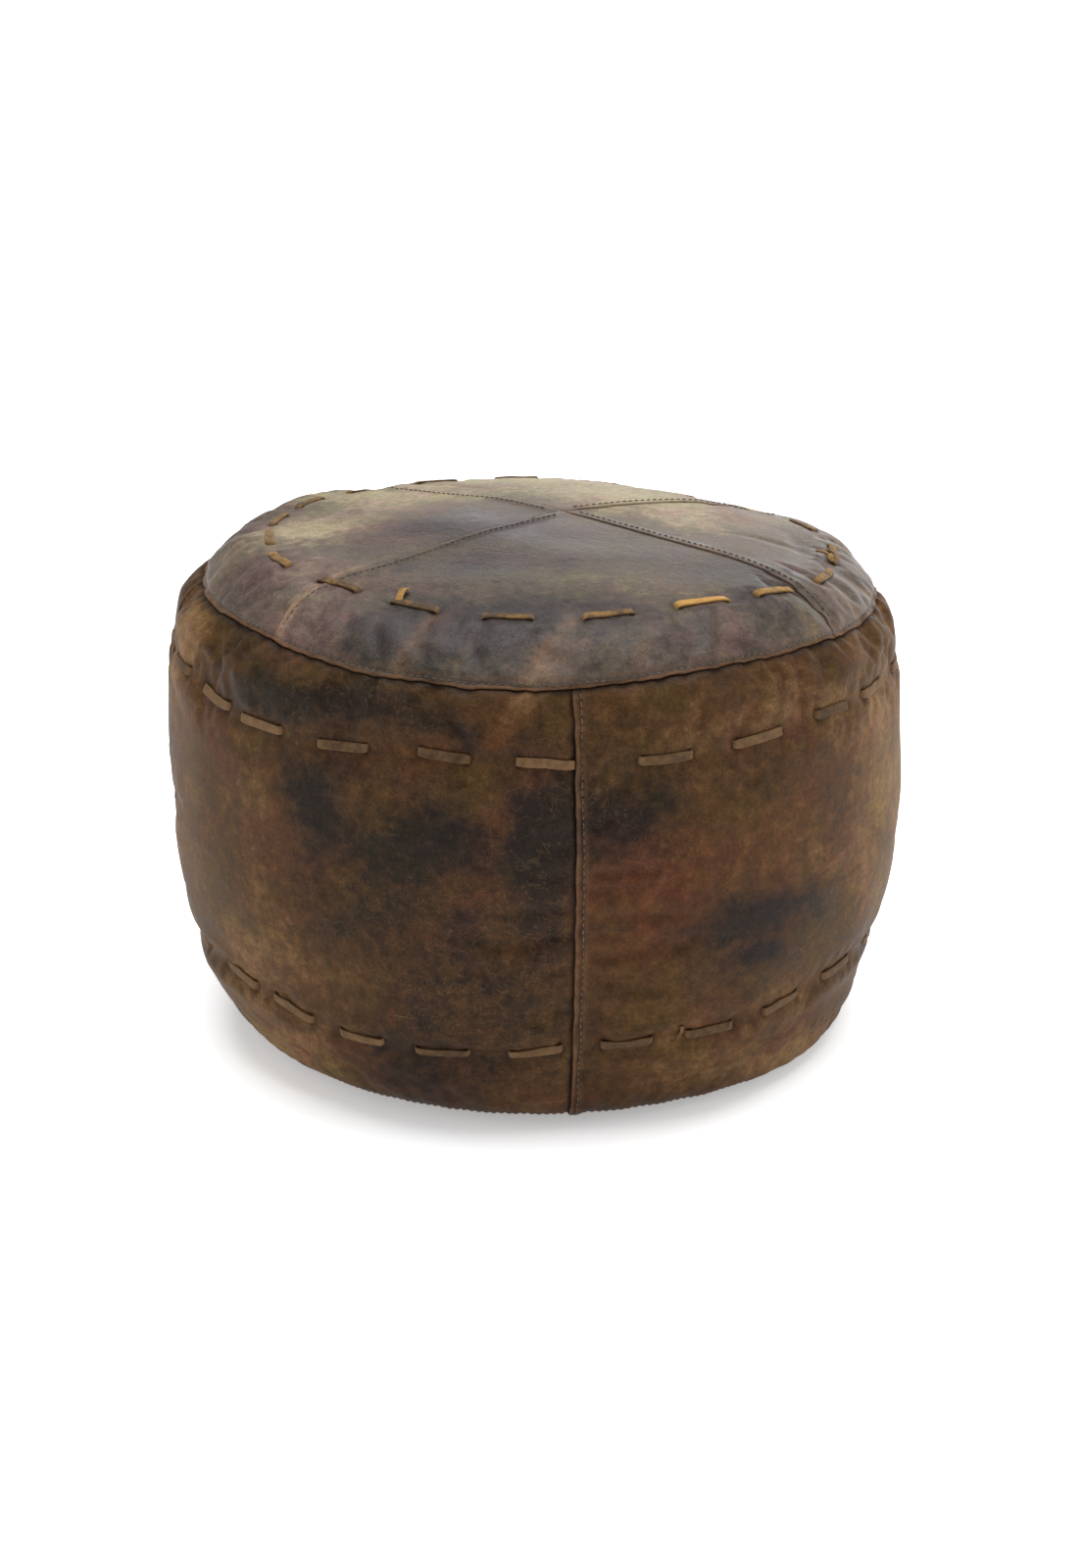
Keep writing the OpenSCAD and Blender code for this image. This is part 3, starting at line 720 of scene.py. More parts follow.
# Light streaks where the leather is gathered: both ends as azimuth and mm, width in mm, strength
SEAT_STREAKS = (
    (-22, 254, -18.5, 212, 4, 1.1), (-20, 250, -16, 205, 9, 0.4), (-1, 252, 7, 208, 5, 1.0),
    (2, 250, 10, 214, 9, 0.4), (-45, 256, -46.5, 190, 5, 1.2), (-47, 190, -52, 120, 4, 0.8),
    (-33, 250, -34, 228, 3, 0.5), (-12, 250, -10, 226, 3, 0.4), (16, 250, 20, 222, 3, 0.4),
    (66, 256, 62, 226, 4, 0.7), (78, 250, 70, 222, 3, 0.6),
    (30, 255, 34, 236, 5, 0.5), (50, 254, 49, 225, 5, 0.5),
    (-75, 250, -70, 215, 6, 0.4), (100, 250, 96, 215, 7, 0.5), (150, 250, 146, 210, 7, 0.6),
    (-130, 250, -126, 212, 7, 0.6), (-165, 250, -160, 215, 6, 0.5),
)
SIDE_STREAKS = (
    (-6, 300, -0.5, 333, 6, 0.9), (-61, 322, -65, 294, 4, 0.7), (-56, 320, -58, 296, 3, 0.6),
    (-68, 322, -70, 300, 4, 0.5), (25, 318, 22, 300, 5, 0.4), (58, 316, 55, 290, 5, 0.5),
    (96, 320, 92, 290, 5, 0.6), (135, 320, 139, 292, 5, 0.6), (-110, 320, -114, 290, 5, 0.6),
    (-150, 320, -146, 296, 5, 0.5),
)
# Long scratches of the side in the same form
SCRATCHES = (
    (-38, 152, -31, 124, 0.55, 1.0), (-30, 138, -24, 124, 0.45, 0.8), (9, 268, 10, 254, 0.5, 1.0),
    (11.5, 258, 13, 248, 0.45, 0.9), (4, 262, 6.5, 256, 0.4, 0.7), (13, 247, 7, 250, 0.4, 0.6),
    (-22, 232, -14, 229, 0.5, 0.5), (70, 210, 73, 180, 0.5, 0.6), (150, 210, 158, 186, 0.5, 0.9),
    (-120, 200, -112, 206, 0.5, 0.8), (-140, 120, -138, 98, 0.5, 0.8),
)


def streaks(degrees, v, rows, scale):
    """Strength of these streaks at an azimuth and a radius or height in mm."""
    total = np.zeros(v.shape)
    for u0, v0, u1, v1, width, strength in rows:
        away, t = to_stroke(degrees * scale, v, (u0 * scale, v0, u1 * scale, v1))
        total += strength * hump(away, 0.0, width) * (1.0 - 0.5 * t)
    return total


def patches(u, v, rows, round_u=False):
    """Tone of these patches in mm, or in degrees and mm where u goes round."""
    total = np.zeros(u.shape)
    for cu, cv, wu, wv, tone in rows:
        du = (u - cu + 180.0) % 360.0 - 180.0 if round_u else u - cu
        total += tone * blot(du, v - cv, (wu, wv))
    return total


def leather_values(a, s, point, shift, ridge, dark):
    """Vertex attributes that the leather material reads."""
    r, z, _ = section(s)
    degrees = np.degrees(turn(a, 0.0))
    wobble = 9.0 * MM * TONE.at(point, 30 * MM) + 16.0 * MM * TONE.at(point + 2.0, 70 * MM)
    x, y = point[..., 0] + wobble, point[..., 1] - 0.7 * wobble
    side = patches(degrees + wobble / MM * 0.25, (z + wobble) / MM, SIDE_TONE_AND_LIGHT_PATCHES, True)
    side_rust = patches(degrees - wobble / MM * 0.25, (z - wobble) / MM, RUST_PATCHES, True)
    # the seat's patches carry painted sheen: a darker front and a lighter back
    seat = patches(x / MM, y / MM, SEAT_TONE_AND_SHEEN_PATCHES)
    seat_rust = patches(x / MM, y / MM, SEAT_RUST)
    on_seat = smooth(S_RIM + 2 * MM, S_RIM - 2 * MM, s)
    seat_light = streaks(degrees + 0.05 * wobble / MM, r / MM, SEAT_STREAKS, SEAT_DEGREE)
    side_light = streaks(degrees + 0.05 * wobble / MM, z / MM, SIDE_STREAKS, SIDE_DEGREE)
    on_side = 1.0 - on_seat
    scratch = streaks(degrees, z / MM, SCRATCHES, SIDE_DEGREE) * on_side
    tone = (side + 0.8 * side_light) * on_side + (seat + 0.7 * seat_light) * on_seat
    rust = (side_rust + 0.6 * side_light) * on_side + (seat_rust + seat_light) * on_seat
    return {
        "tone": tone,
        "rust": rust,
        # grey marks the seat, whose colours carry painted sheen
        "grey": on_seat,
        "ridge": ridge,
        "dark": dark,
        "scratch": np.clip(scratch, 0.0, 1.0),
        "shift": np.full(a.shape, shift),
    }


# ---------------------------------------------------------------- panels

THICK = 1.1 * MM
# Section across a turned edge in mm: distance from the seam line, and height above the skin
ROLL = np.array([
    (-2.4, 0.25), (-3.2, 0.27), (-3.85, 0.48), (-4.14, 0.90), (-4.14, 1.40), (-3.84, 1.84), (-3.2, 2.06),
]) * MM
HEM_X = np.array([-2.2, -1.0, 0.0, 0.8, 1.5, 2.2, 3.1, 4.3, 5.8, 7.6, 9.8, 12.5, 16.0]) * MM
HEM_H = np.array([2.15, 2.12, 2.00, 1.72, 1.45, 1.58, 1.62, 1.42, 0.98, 0.55, 0.25, 0.08, 0.0]) * MM
STITCH_X = 1.5 * MM
# How much the turned edges of the seat and of the side get a painted highlight, with some wear
RIM_WEAR_AND_HIGHLIGHT = 0.5
SIDE_WEAR_AND_HIGHLIGHT = 0.75
# The seat's edge is sewn this much nearer to its fold
RIM_TUCK = 1.3 * MM


def hem_profile(more):
    """Columns across a panel that starts with a turned edge: place, height and their inner twins."""
    x = np.concatenate([ROLL[:, 0], HEM_X, more])
    h = np.concatenate([ROLL[:, 1], HEM_H, np.zeros(len(more))])
    dx, dh = np.gradient(x), np.gradient(h)
    size = np.hypot(dx, dh)
    inner_x = x + THICK * dh / size
    inner_h = h - THICK * dx / size
    return x, h, inner_x, inner_h


def ridge_of(x):
    """How much painted highlight, with some wear, a turned edge gets, from its distance to the seam line."""
    return np.clip(hump(x, -3.4 * MM, 1.8 * MM) + 0.45 * hump(x, 3.4 * MM, 1.6 * MM), 0, 1)


def rim_waves(a):
    """Small waves of the seat's free edge, along the skin and away from it."""
    ring = np.stack([np.cos(a) * RADIUS, np.sin(a) * RADIUS, 0.0 * a], -1)
    return 1.3 * MM * CREASE.at(ring + 4.0, 36 * MM), 0.4 * MM * CREASE.at(ring + 7.0, 26 * MM)


def edge_thinning(s):
    """How much is left of a side panel's turned edge, thin under the seat and in the base seam."""
    in_view = smooth(S_RIM + 3 * MM, S_RIM + 12 * MM, s) * smooth(S_BASE_SEAM, S_BASE_SEAM - 9 * MM, s)
    return 0.12 + 0.88 * in_view


# One turned edge has sprung away from the stuffing: which panel, how far, and where
LOOSE_PANEL = 3
LOOSE_EDGE = 2.6 * MM
LOOSE_MIDDLE = float(S_UPPER_LACE) + 10 * MM
LOOSE_HALF = 70 * MM
SIDE_STEP = 2.5 * MM
SIDE_TAIL = np.array([13.0, 10.0, 7.6, 6.0, 5.0, 4.2, 3.4, 2.2, 0.3]) * MM
SIDE_TOP = np.array([0.4, 1.8, 3.2, 4.6, 6.0, 7.6, 9.6]) * MM
SIDE_FOOT = np.array([7.6, 5.6, 4.0, 2.6, 1.4, 0.4]) * MM


def side_cover(i, name, node, material):
    """One side panel: columns run from its turned edge to where it goes under the next panel."""
    start = math.radians(SIDE_SEAM + 90.0 * i)
    width = math.pi / 2 * RADIUS
    tail = width - SIDE_TAIL
    middle = np.arange(18.4 * MM, tail[0] - 1.6 * MM, SIDE_STEP)
    x, h, inner_x, inner_h = hem_profile(np.concatenate([middle, tail]))
    level = np.arange(S_RIM + 12 * MM, S_BASE_SEAM - 9 * MM, SIDE_STEP)
    rows = np.concatenate([S_RIM + SIDE_TOP, level, S_BASE_SEAM - SIDE_FOOT])
    thin = edge_thinning(rows)
    a = start + x[:, None] / RADIUS + 0.0 * rows[None, :]
    s = rows[None, :] + 0.0 * x[:, None]
    dent, dark = slit_dents(a, s)
    dent = dent * smooth(3.5 * MM, 7 * MM, x)[:, None]
    under = hump(x, width, 5 * MM)[:, None]
    sprung = LOOSE_EDGE * smooth(4 * MM, -1 * MM, x)[:, None] * hump(rows, LOOSE_MIDDLE, LOOSE_HALF)[None, :]
    sprung = sprung * (i == LOOSE_PANEL)
    outer = skin.place(a, s, h[:, None] * thin[None, :] - dent - 0.5 * MM * under + sprung)[0]
    inner_a = start + inner_x[:, None] / RADIUS + 0.0 * s
    flat_inner = np.where(h[:, None] > 0.02 * MM, inner_h[:, None] * thin[None, :], -THICK)
    inner = skin.place(inner_a, s, flat_inner - dent - 0.5 * MM * under - 0.05 * MM + sprung)[0]
    # painted highlight, with some wear, on the crests of the turned edge
    ridge = SIDE_WEAR_AND_HIGHLIGHT * ridge_of(x)[:, None] * thin[None, :]
    # painted shade in the gap where the panel goes under the next one, and in the stitch line
    groove = hump(x, width - 4.6 * MM, 2.2 * MM)[:, None] + 0.5 * hump(x, STITCH_X, 0.8 * MM)[:, None]
    # painted shade under the seat's rolled edge and in the base seam
    edge = hump(s, S_RIM + 4.5 * MM, 3.0 * MM) + 0.8 * hump(s, S_BASE_SEAM, 4 * MM)
    dark = np.clip(dark + groove + edge, 0, 1)
    values = leather_values(a, s, outer, 0.37 * i + 0.2, ridge, dark)
    piece = shell(name, outer, inner, values, flip=True)
    return settle(piece, [node], material)


def ray_length(angle, radius):
    """Distance from the seat's cross to a circle about the axis, along an azimuth seen from the cross."""
    dx, dy = np.sin(angle), -np.cos(angle)
    along = CROSS[0] * dx + CROSS[1] * dy
    return -along + np.sqrt(along ** 2 + radius ** 2 - CROSS[0] ** 2 - CROSS[1] ** 2)


# The band of the seat that its turned edge takes up, and the spacing of a panel's columns
SEAT_EDGE = 16 * MM
SEAT_STEP = 2.6 * MM
SEAM_NEAR = np.array([0.0, 0.12, 0.5, 1.2, 2.4, 4.0, 5.2, 6.0, 6.8, 8.0, 10.0, 12.5]) * MM
SEAM_FAR = np.array([12.0, 9.0, 6.5, 4.5, 3.0, 2.0, 1.2, 0.6, 0.1]) * MM
# Middle of the rolled edge in mm, where its inner side goes
CORE_X = np.array([-2.4, -2.6, -2.75, -2.8, -2.75, -2.6, -2.4]) * MM
CORE_H = np.array([1.15, 1.13, 1.1, 1.05, 1.0, 0.96, 0.94]) * MM
# The seam at a panel's start stands a little proud: distance from it and height, in mm
PROUD_X = (0.0, 0.12, 0.5, 1.4, 3.5, 5.2, 6.0, 6.8, 8.0, 10.0, 13.0)
PROUD_H = (-0.4, 0.35, 0.7, 0.85, 0.85, 0.7, 0.5, 0.65, 0.55, 0.25, 0.0)
# The topstitching of the seat seams runs this far beside them
SEAT_STITCH_X = 6 * MM


def seat_columns(start, end):
    """Azimuths of a seat panel's columns, seen from the cross."""
    first = start + SEAM_NEAR / RIM_RADIUS
    last = end - SEAM_FAR / RIM_RADIUS
    step = SEAT_STEP / RIM_RADIUS
    return np.concatenate([first, np.arange(first[-1] + step, last[0] - 0.4 * step, step), last])


def from_cross(angles, rho):
    """X and Y at a distance from the cross."""
    return CROSS[0] + rho * np.sin(angles), CROSS[1] - rho * np.cos(angles)


def seat_inside(angles):
    """Azimuth and length of a seat panel's points inside its turned edge."""
    shares = np.concatenate([[0.0, 0.004, 0.012, 0.024], np.linspace(0.036, 1.0, 84)])
    rho = shares[None, :] * ray_length(angles, RIM_RADIUS - SEAT_EDGE)[:, None]
    x, y = from_cross(angles[:, None], rho)
    return np.arctan2(x, -y), s_on_seat(np.hypot(x, y))


def edge_azimuths(angles, join_a, edge_x):
    """Azimuths of the turned edge, which meet the panel's inside at one end and the rim at the other."""
    x, y = from_cross(angles, ray_length(angles, RIM_RADIUS))
    join_a = np.unwrap(join_a)
    rim_a = join_a + (np.arctan2(x, -y) - join_a + math.pi) % (2 * math.pi) - math.pi
    blend = np.clip((SEAT_EDGE - edge_x) / SEAT_EDGE, 0, 1)
    return join_a[:, None] + (rim_a - join_a)[:, None] * blend[None, :]


def seat_cover(i, name, node, material):
    """One seat panel: columns run out from the cross, and their last rows are the turned edge."""
    start = math.radians(SEAT_SEAMS[i])
    end = math.radians(SEAT_SEAMS[(i + 1) % 4] + (360.0 if i == 3 else 0.0))
    angles = seat_columns(start, end)
    a_in, s_in = seat_inside(angles)
    join = S_RIM - float(s_on_seat(RIM_RADIUS - SEAT_EDGE)) - 1.5 * MM
    across = HEM_X[::-1][HEM_X[::-1] < join]
    edge_x = np.concatenate([across, ROLL[::-1, 0]])
    edge_h = np.concatenate([np.interp(across + RIM_TUCK, HEM_X, HEM_H), ROLL[::-1, 1]])
    edge_a = edge_azimuths(angles, a_in[:, -1], edge_x)
    wave_s, wave_h = rim_waves(edge_a)
    free = smooth(7 * MM, -1 * MM, edge_x)[None, :]
    edge_s = S_RIM - edge_x[None, :] + wave_s * free
    a = np.hstack([a_in, edge_a])
    s = np.hstack([s_in, edge_s])
    own = np.interp(S_RIM - s_in + RIM_TUCK, HEM_X, HEM_H, left=0.0, right=0.0)
    h = np.hstack([own, edge_h[None, :] * 0.92 + wave_h * free])
    x, y = in_plan(a, s)
    to_start = distance_to_ray(x, y, start)
    to_end = distance_to_ray(x, y, end)
    inward = smooth(6 * MM, 22 * MM, np.hypot(x - CROSS[0], y - CROSS[1]))
    quiet = 1.0 - smooth(S_RIM - 12 * MM, S_RIM - 2 * MM, s)
    # the seam at the start is proud and the far edge dips under the next panel
    raised = np.interp(to_start / MM, PROUD_X, PROUD_H) * MM
    sunk = -0.5 * MM * hump(to_end, 0.0, 2.5 * MM)
    dent, dark = slit_dents(a, s)
    h = h + (raised * (0.35 + 0.65 * inward) + sunk) * (0.35 + 0.65 * quiet) - dent
    outer, normal = skin.place(a, s, h)
    inner = outer - normal * THICK
    rolled = len(ROLL)
    core_s = S_RIM - CORE_X[None, :] + (wave_s * free)[:, -rolled:]
    core_h = CORE_H[None, :] + (wave_h * free)[:, -rolled:]
    inner[:, -rolled:] = skin.place(a[:, -rolled:], core_s, core_h)[0]

    def on_edge(inside, at_edge):
        return np.hstack([np.full(s_in.shape, inside), np.broadcast_to(at_edge, edge_s.shape)])

    # painted highlight, with some wear, on the rolled rim and on the crest of the proud seam
    ridge = on_edge(0.0, RIM_WEAR_AND_HIGHLIGHT * ridge_of(edge_x))
    ridge = np.maximum(ridge, 0.45 * hump(to_start, 0.9 * MM, 1.0 * MM))
    # painted shade in the gap under the next panel and in the seam's stitch line; stitch_line below is
    # painted shade in the rim's stitch line
    groove = 0.55 * hump(to_end, 0.0, 1.4 * MM) + 0.35 * hump(to_start, SEAT_STITCH_X, 0.9 * MM) * quiet
    stitch_line = on_edge(0.0, hump(edge_x, STITCH_X - RIM_TUCK, 0.9 * MM))
    dark = np.clip(dark + groove + 0.35 * stitch_line, 0, 1)
    values = leather_values(a, np.minimum(s, S_RIM), outer, 0.61 * i + 1.4, ridge, dark)
    # the turned edge is as brown as the side: it faces sideways and gets none of the seat's painted sheen
    browner = smooth(0.6 * MM, -3.4 * MM, edge_x)
    values["grey"] = on_edge(1.0, 1.0 - 0.85 * browner)
    values["rust"] = values["rust"] + on_edge(0.0, 0.3 * browner)
    piece = shell(name, outer, inner, values)
    return settle(piece, [node], material)


def distance_to_ray(x, y, angle):
    """Distance in plan from the seam that leaves the cross at this azimuth."""
    along, across = beside_seam(x, y, angle)
    return np.where(along > 0, np.abs(across), np.hypot(along, across))


def stadium(x, y):
    """Distance outside the zip's recess, below 0 inside it."""
    straight = RECESS_HALF_LENGTH - RECESS_HALF_WIDTH
    return np.hypot(np.maximum(np.abs(x) - straight, 0.0), y) - RECESS_HALF_WIDTH


# Half the length of the base that has evenly spaced columns
BASE_EVEN = 190 * MM


def base_columns(limit):
    """X of a base half's columns, Y of their points, and Y of the slit that they start from."""
    rounding = np.linspace(0.0, math.pi / 2, 26)[1:]
    outer_x = BASE_EVEN + (limit - BASE_EVEN) * np.sin(rounding)
    inner_x = np.linspace(-BASE_EVEN, BASE_EVEN, 153)
    x = np.concatenate([-outer_x[::-1], inner_x, outer_x])
    top = np.sqrt(np.maximum(limit ** 2 - x ** 2, (0.4 * MM) ** 2))
    slit = SLIT_HALF * smooth(ZIP_HALF + 1 * MM, ZIP_HALF - 2 * MM, np.abs(x))
    low = np.minimum(np.maximum(slit, 0.15 * MM), 0.5 * top)
    fine = np.concatenate([np.arange(0.0, 24.0, 1.5) * MM, [26 * MM, 29 * MM]])
    shares = np.linspace(0.0, 1.0, 52)[1:] ** 0.85
    columns = []
    for t, b in zip(top, low):
        if t > 40 * MM:
            near = b + fine * (1.0 - b / (29 * MM))
        else:
            near = b + (t - b) * fine / (60 * MM)
        columns.append(np.concatenate([near, near[-1] + (t - near[-1]) * shares]))
    return x, np.array(columns), low


def base_cover(side, name, node, material):
    """One base half: columns run from the zip's slit to the base seam, across the recess for the zip."""
    limit = BASE_SEAM_RADIUS - 0.1 * MM
    x, y, low = base_columns(limit)
    y = y * side
    xx = x[:, None] + 0.0 * y
    r = np.minimum(np.hypot(xx, y), limit)
    a = np.arctan2(xx, -y)
    s = s_on_base(r)
    away = stadium(xx, y)
    sunk = RECESS_DEPTH * smooth(3.2 * MM, 0.8 * MM, away)
    seam_pull = 0.9 * MM * hump(np.abs(y), 0.0, 2.0 * MM) * (away > 0)
    point, normal = skin.place(a, s, 0.0)
    point[..., 2] += sunk + seam_pull
    point[..., 2] += 0.35 * MM * (CREASE.at(point, 22 * MM) + 1.0) * smooth(2 * MM, 8 * MM, away)
    inner = point - normal * THICK
    # painted highlight, with some wear, on the recess's edge and beside the base seam
    ridge = 0.6 * hump(away, 1.2 * MM, 1.6 * MM) + 0.5 * hump(s, S_BASE_SEAM + 3 * MM, 2 * MM)
    # painted shade in the zip's slit and in the base seam
    dark = np.clip(0.8 * hump(np.abs(y), low[:, None], 1.6 * MM) + 0.7 * hump(s, S_BASE_SEAM, 3 * MM), 0, 1)
    values = leather_values(a, s, point, 2.7 + 0.4 * side, ridge, dark)
    for key in ("tone", "rust"):
        values[key] = 0.8 * TONE.at(point + (1.0 if key == "rust" else 5.0), 80 * MM)
    piece = shell(name, point, inner, values, flip=side > 0)
    return settle(piece, [node], material)


# ---------------------------------------------------------------- laces

LACE_AROUND = 16
# The pressed-down strap is a little thinner than a new one
STRAP_THICK = 0.85 * LACE_THICK


def strap_ring(points, across, up, width, thick):
    """Rings of a rounded strip round a path, and the angles of a ring's points."""
    t = np.linspace(0.0, 2.0 * math.pi, LACE_AROUND, endpoint=False)
    # a flat oval with nearly square corners
    c, q = np.cos(t), np.sin(t)
    w = np.sign(c) * np.abs(c) ** 0.32 * width / 2
    u = np.sign(q) * np.abs(q) ** 0.42 * thick / 2
    return points[:, None] + across[:, None] * w[None, :, None] + up[:, None] * u[None, :, None], t


def strap_sides(tangent, hint):
    """Unit width and thickness directions of a strap, square to its path; the width lies near the hint."""
    tangent = unit(tangent)
    across = unit(hint - (hint * tangent).sum(-1, keepdims=True) * tangent)
    return across, np.cross(tangent, across)


def frayed(rings, up, depth, size):
    return rings + up[:, None] * (depth * CREASE.at(rings, size))[..., None]


# Height profile of one stitch: distance in from its end, height of the strap's middle
RISE_X = np.array([-1.2, -0.8, -0.35, 0.1, 0.7, 1.6, 3.2, 6.5]) * MM
RISE_H = np.array([-3.2, -2.6, -1.4, -0.2, 0.55, 0.9, 1.05, 1.15]) * MM
# The same on the stitch's level part, under the leather between stitches, and how dirty the strap is there
CREST = 1.25 * MM
HIDDEN = -3.3 * MM
HIDDEN_TONE = 0.4
LEVEL_POINTS = 5
# Share of its width that a strap loses at its ends, and how frayed it is there
END_PINCH = 0.10
END_FRAY = 0.9


def stitch_path(which, k):
    """Azimuth, length, height, tone and width along one stitch of a lace, as rows."""
    middle, half, slant, tone = (values[k] for values in LACE_PLANS[which])
    flat = np.linspace(-half + 13 * MM, half - 13 * MM, LEVEL_POINTS)
    x = np.concatenate([-half + RISE_X, flat, half - RISE_X[::-1]])
    behind = smooth(0.1, -0.5, math.cos(math.radians(middle))) if which == 0 else 0.0
    crest = CREST + 0.15 * MM * math.sin(3.1 * k) - 0.6 * MM * behind
    ends = np.minimum(RISE_H, crest)
    h = np.concatenate([ends, np.full(LEVEL_POINTS, crest), ends[::-1]])
    a = math.radians(middle) + x / row_radius(LACE_MIDDLES[which])
    bow = 0.5 * MM * math.sin(1.7 * k) * (1.0 - (x / half) ** 2)
    s = lace_rows(a)[which] + slant * x / half + bow
    pinch = 1.0 - END_PINCH * np.exp(-(((np.abs(x) - half) / (2 * MM)) ** 2))
    return np.stack([a, s, h, np.full(len(x), tone), LACE_WIDTH * pinch])


def lace_path(which):
    """The same rows for the whole lace, which runs hidden from each stitch to the next."""
    stitches = [stitch_path(which, k) for k in np.argsort(LACE_PLANS[which][0])]
    t = np.linspace(0.0, 1.0, 8)[1:-1]
    hidden = np.full((3, len(t)), [[HIDDEN], [HIDDEN_TONE], [LACE_WIDTH]])
    path = []
    for k, stitch in enumerate(stitches):
        after = stitches[(k + 1) % len(stitches)][:2, :1]
        if k == len(stitches) - 1:
            after = after + np.array([[2.0 * math.pi], [0.0]])
        before = stitch[:2, -1:]
        path += [stitch, np.vstack([before + (after - before) * t, hidden])]
    return np.hstack(path)


def lace_piece(name, node, which, material, tails):
    a, s, h, tone, wide = lace_path(which)
    points = skin.place(a, s, h)[0]
    hint = unit(skin.place(a, s + 2 * MM, h)[0] - skin.place(a, s - 2 * MM, h)[0])
    across, up = strap_sides(np.roll(points, -1, axis=0) - np.roll(points, 1, axis=0), hint)
    rings, t = strap_ring(points, across * (wide / LACE_WIDTH)[:, None], up, LACE_WIDTH, STRAP_THICK)
    rings = frayed(rings, up, 0.12 * MM, 2.4 * MM)
    # the strap frays at its sides and where it enters the slits
    end = (1.0 - wide / LACE_WIDTH) / END_PINCH
    edge = np.maximum(np.abs(np.cos(t))[None, :] ** 6, END_FRAY * end[:, None])
    faces = tube_faces(len(points), LACE_AROUND, True)
    parts = [(rings.reshape(-1, 3), faces, np.repeat(tone, LACE_AROUND), edge.ravel())]
    for path, width, tail_tone in tails:
        base = sum(len(part[0]) for part in parts)
        parts.append(tail_mesh(which, path, width, tail_tone, base))
    points, faces, tones, edges = (np.concatenate(part) for part in zip(*parts))
    piece = make_object(name, points, faces, {"tone": tones, "edge": edges}, sharp=70.0)
    return settle(piece, [node], material)


# Points along a free end, and how its width falls off at its start and at its tip
TAIL_POINTS = 22
TAIL_START = 0.3
TAIL_TIP = (0.85, 0.55, 0.15)


def tail_mesh(which, path, width, tone, base):
    """A free end of lace: a short strip through points given as azimuth, mm from the row and mm of height."""
    keys = np.array(path, float)
    t = np.linspace(0.0, len(keys) - 1.0, TAIL_POINTS)
    low = np.clip(np.floor(t).astype(int), 0, len(keys) - 2)
    f = (t - low)[:, None]
    f = f * f * (3.0 - 2.0 * f) * 0.35 + f * 0.65
    at = keys[low] * (1.0 - f) + keys[low + 1] * f
    places = np.radians(at[:, 0])
    points, normal = skin.place(places, lace_rows(places)[which] + at[:, 1] * MM, at[:, 2] * MM)
    tangent = np.gradient(points, axis=0)
    across, up = strap_sides(tangent, unit(np.cross(normal, tangent)))
    taper = np.ones(TAIL_POINTS)
    taper[0] = TAIL_START
    taper[-3:] = TAIL_TIP
    up = up * np.maximum(taper, 0.4)[:, None]
    rings, angle = strap_ring(points, across * taper[:, None], up, width * MM, 1.5 * MM)
    rings = frayed(rings, up, 0.15 * MM, 2.0 * MM)
    ring = base + np.arange(LACE_AROUND)
    caps = end_caps(ring, ring + (TAIL_POINTS - 1) * LACE_AROUND)
    faces = np.vstack([tube_faces(TAIL_POINTS, LACE_AROUND, False, base), caps])
    edge = np.broadcast_to(np.abs(np.cos(angle)) ** 6, rings.shape[:2]).ravel()
    return rings.reshape(-1, 3), faces, np.full(edge.size, tone), edge


# ---------------------------------------------------------------- topstitching

STITCH_PITCH = 5.4 * MM
STITCH_SHARE = 0.80
STITCH_SWAY = 0.10 * MM
THREAD_RADIUS = 0.48 * MM
# Heights in mm at which the threads lie on the rim, the side seams, the seat seams and the base
RIM_THREAD = 1.22 * MM
SIDE_THREAD = 1.45 * MM
SEAT_THREAD = 0.7 * MM
BASE_THREAD = 0.2 * MM


def stitch_solids(starts, ends, normals):
    """Many short sewn stitches as one mesh: each is a bowed thread that dips at both ends."""
    count = len(starts)
    t = np.array([0.0, 0.12, 0.35, 0.65, 0.88, 1.0])
    lift = np.array([-0.75, -0.05, 0.28, 0.28, -0.05, -0.75]) * MM
    fat = np.array([0.55, 0.95, 1.0, 1.0, 0.95, 0.55]) * THREAD_RADIUS
    sides = 6
    along = ends - starts
    across = unit(np.cross(normals, along))
    centre = starts[:, None] + along[:, None] * t[None, :, None] + normals[:, None] * lift[None, :, None]
    angle = full_turn(sides)
    ring = (
        across[:, None, None] * np.cos(angle)[None, None, :, None]
        + normals[:, None, None] * np.sin(angle)[None, None, :, None]
    )
    points = centre[:, :, None] + ring * fat[None, :, None, None]
    one = tube_faces(len(t), sides, False)
    caps = []
    for k, flip in ((0, True), (len(t) - 1, False)):
        b = k * sides
        for quad in ((b, b + 1, b + 2, b + 3), (b, b + 3, b + 4, b + 5)):
            caps.append(quad if flip else quad[::-1])
    one = np.vstack([one, np.array(caps)])
    faces = (one[None] + (np.arange(count) * len(t) * sides)[:, None, None]).reshape(-1, 4)
    return points.reshape(-1, 3), faces


def stitches_along(a, s, height, seed):
    """Stitches on the skin along a path that is given as dense azimuths and lengths."""
    rng = np.random.default_rng(seed)
    points, normals = skin.place(a, s, height)
    steps = np.linalg.norm(np.diff(points, axis=0), axis=1)
    travelled = np.concatenate([[0.0], np.cumsum(steps)])
    count = int(travelled[-1] / STITCH_PITCH)
    first = (np.arange(count) + 0.1) * travelled[-1] / count
    last = first + STITCH_SHARE * STITCH_PITCH * rng.uniform(0.92, 1.06, count)

    def along(values, where):
        return np.stack([np.interp(where, travelled, values[:, k]) for k in range(3)], -1)

    start, end = along(points, first), along(points, last)
    normal = unit(along(normals, 0.5 * (first + last)))
    sway = unit(np.cross(normal, end - start))
    start = start + sway * rng.normal(0.0, STITCH_SWAY, (count, 1))
    end = end + sway * rng.normal(0.0, STITCH_SWAY, (count, 1))
    return stitch_solids(start, end, normal)


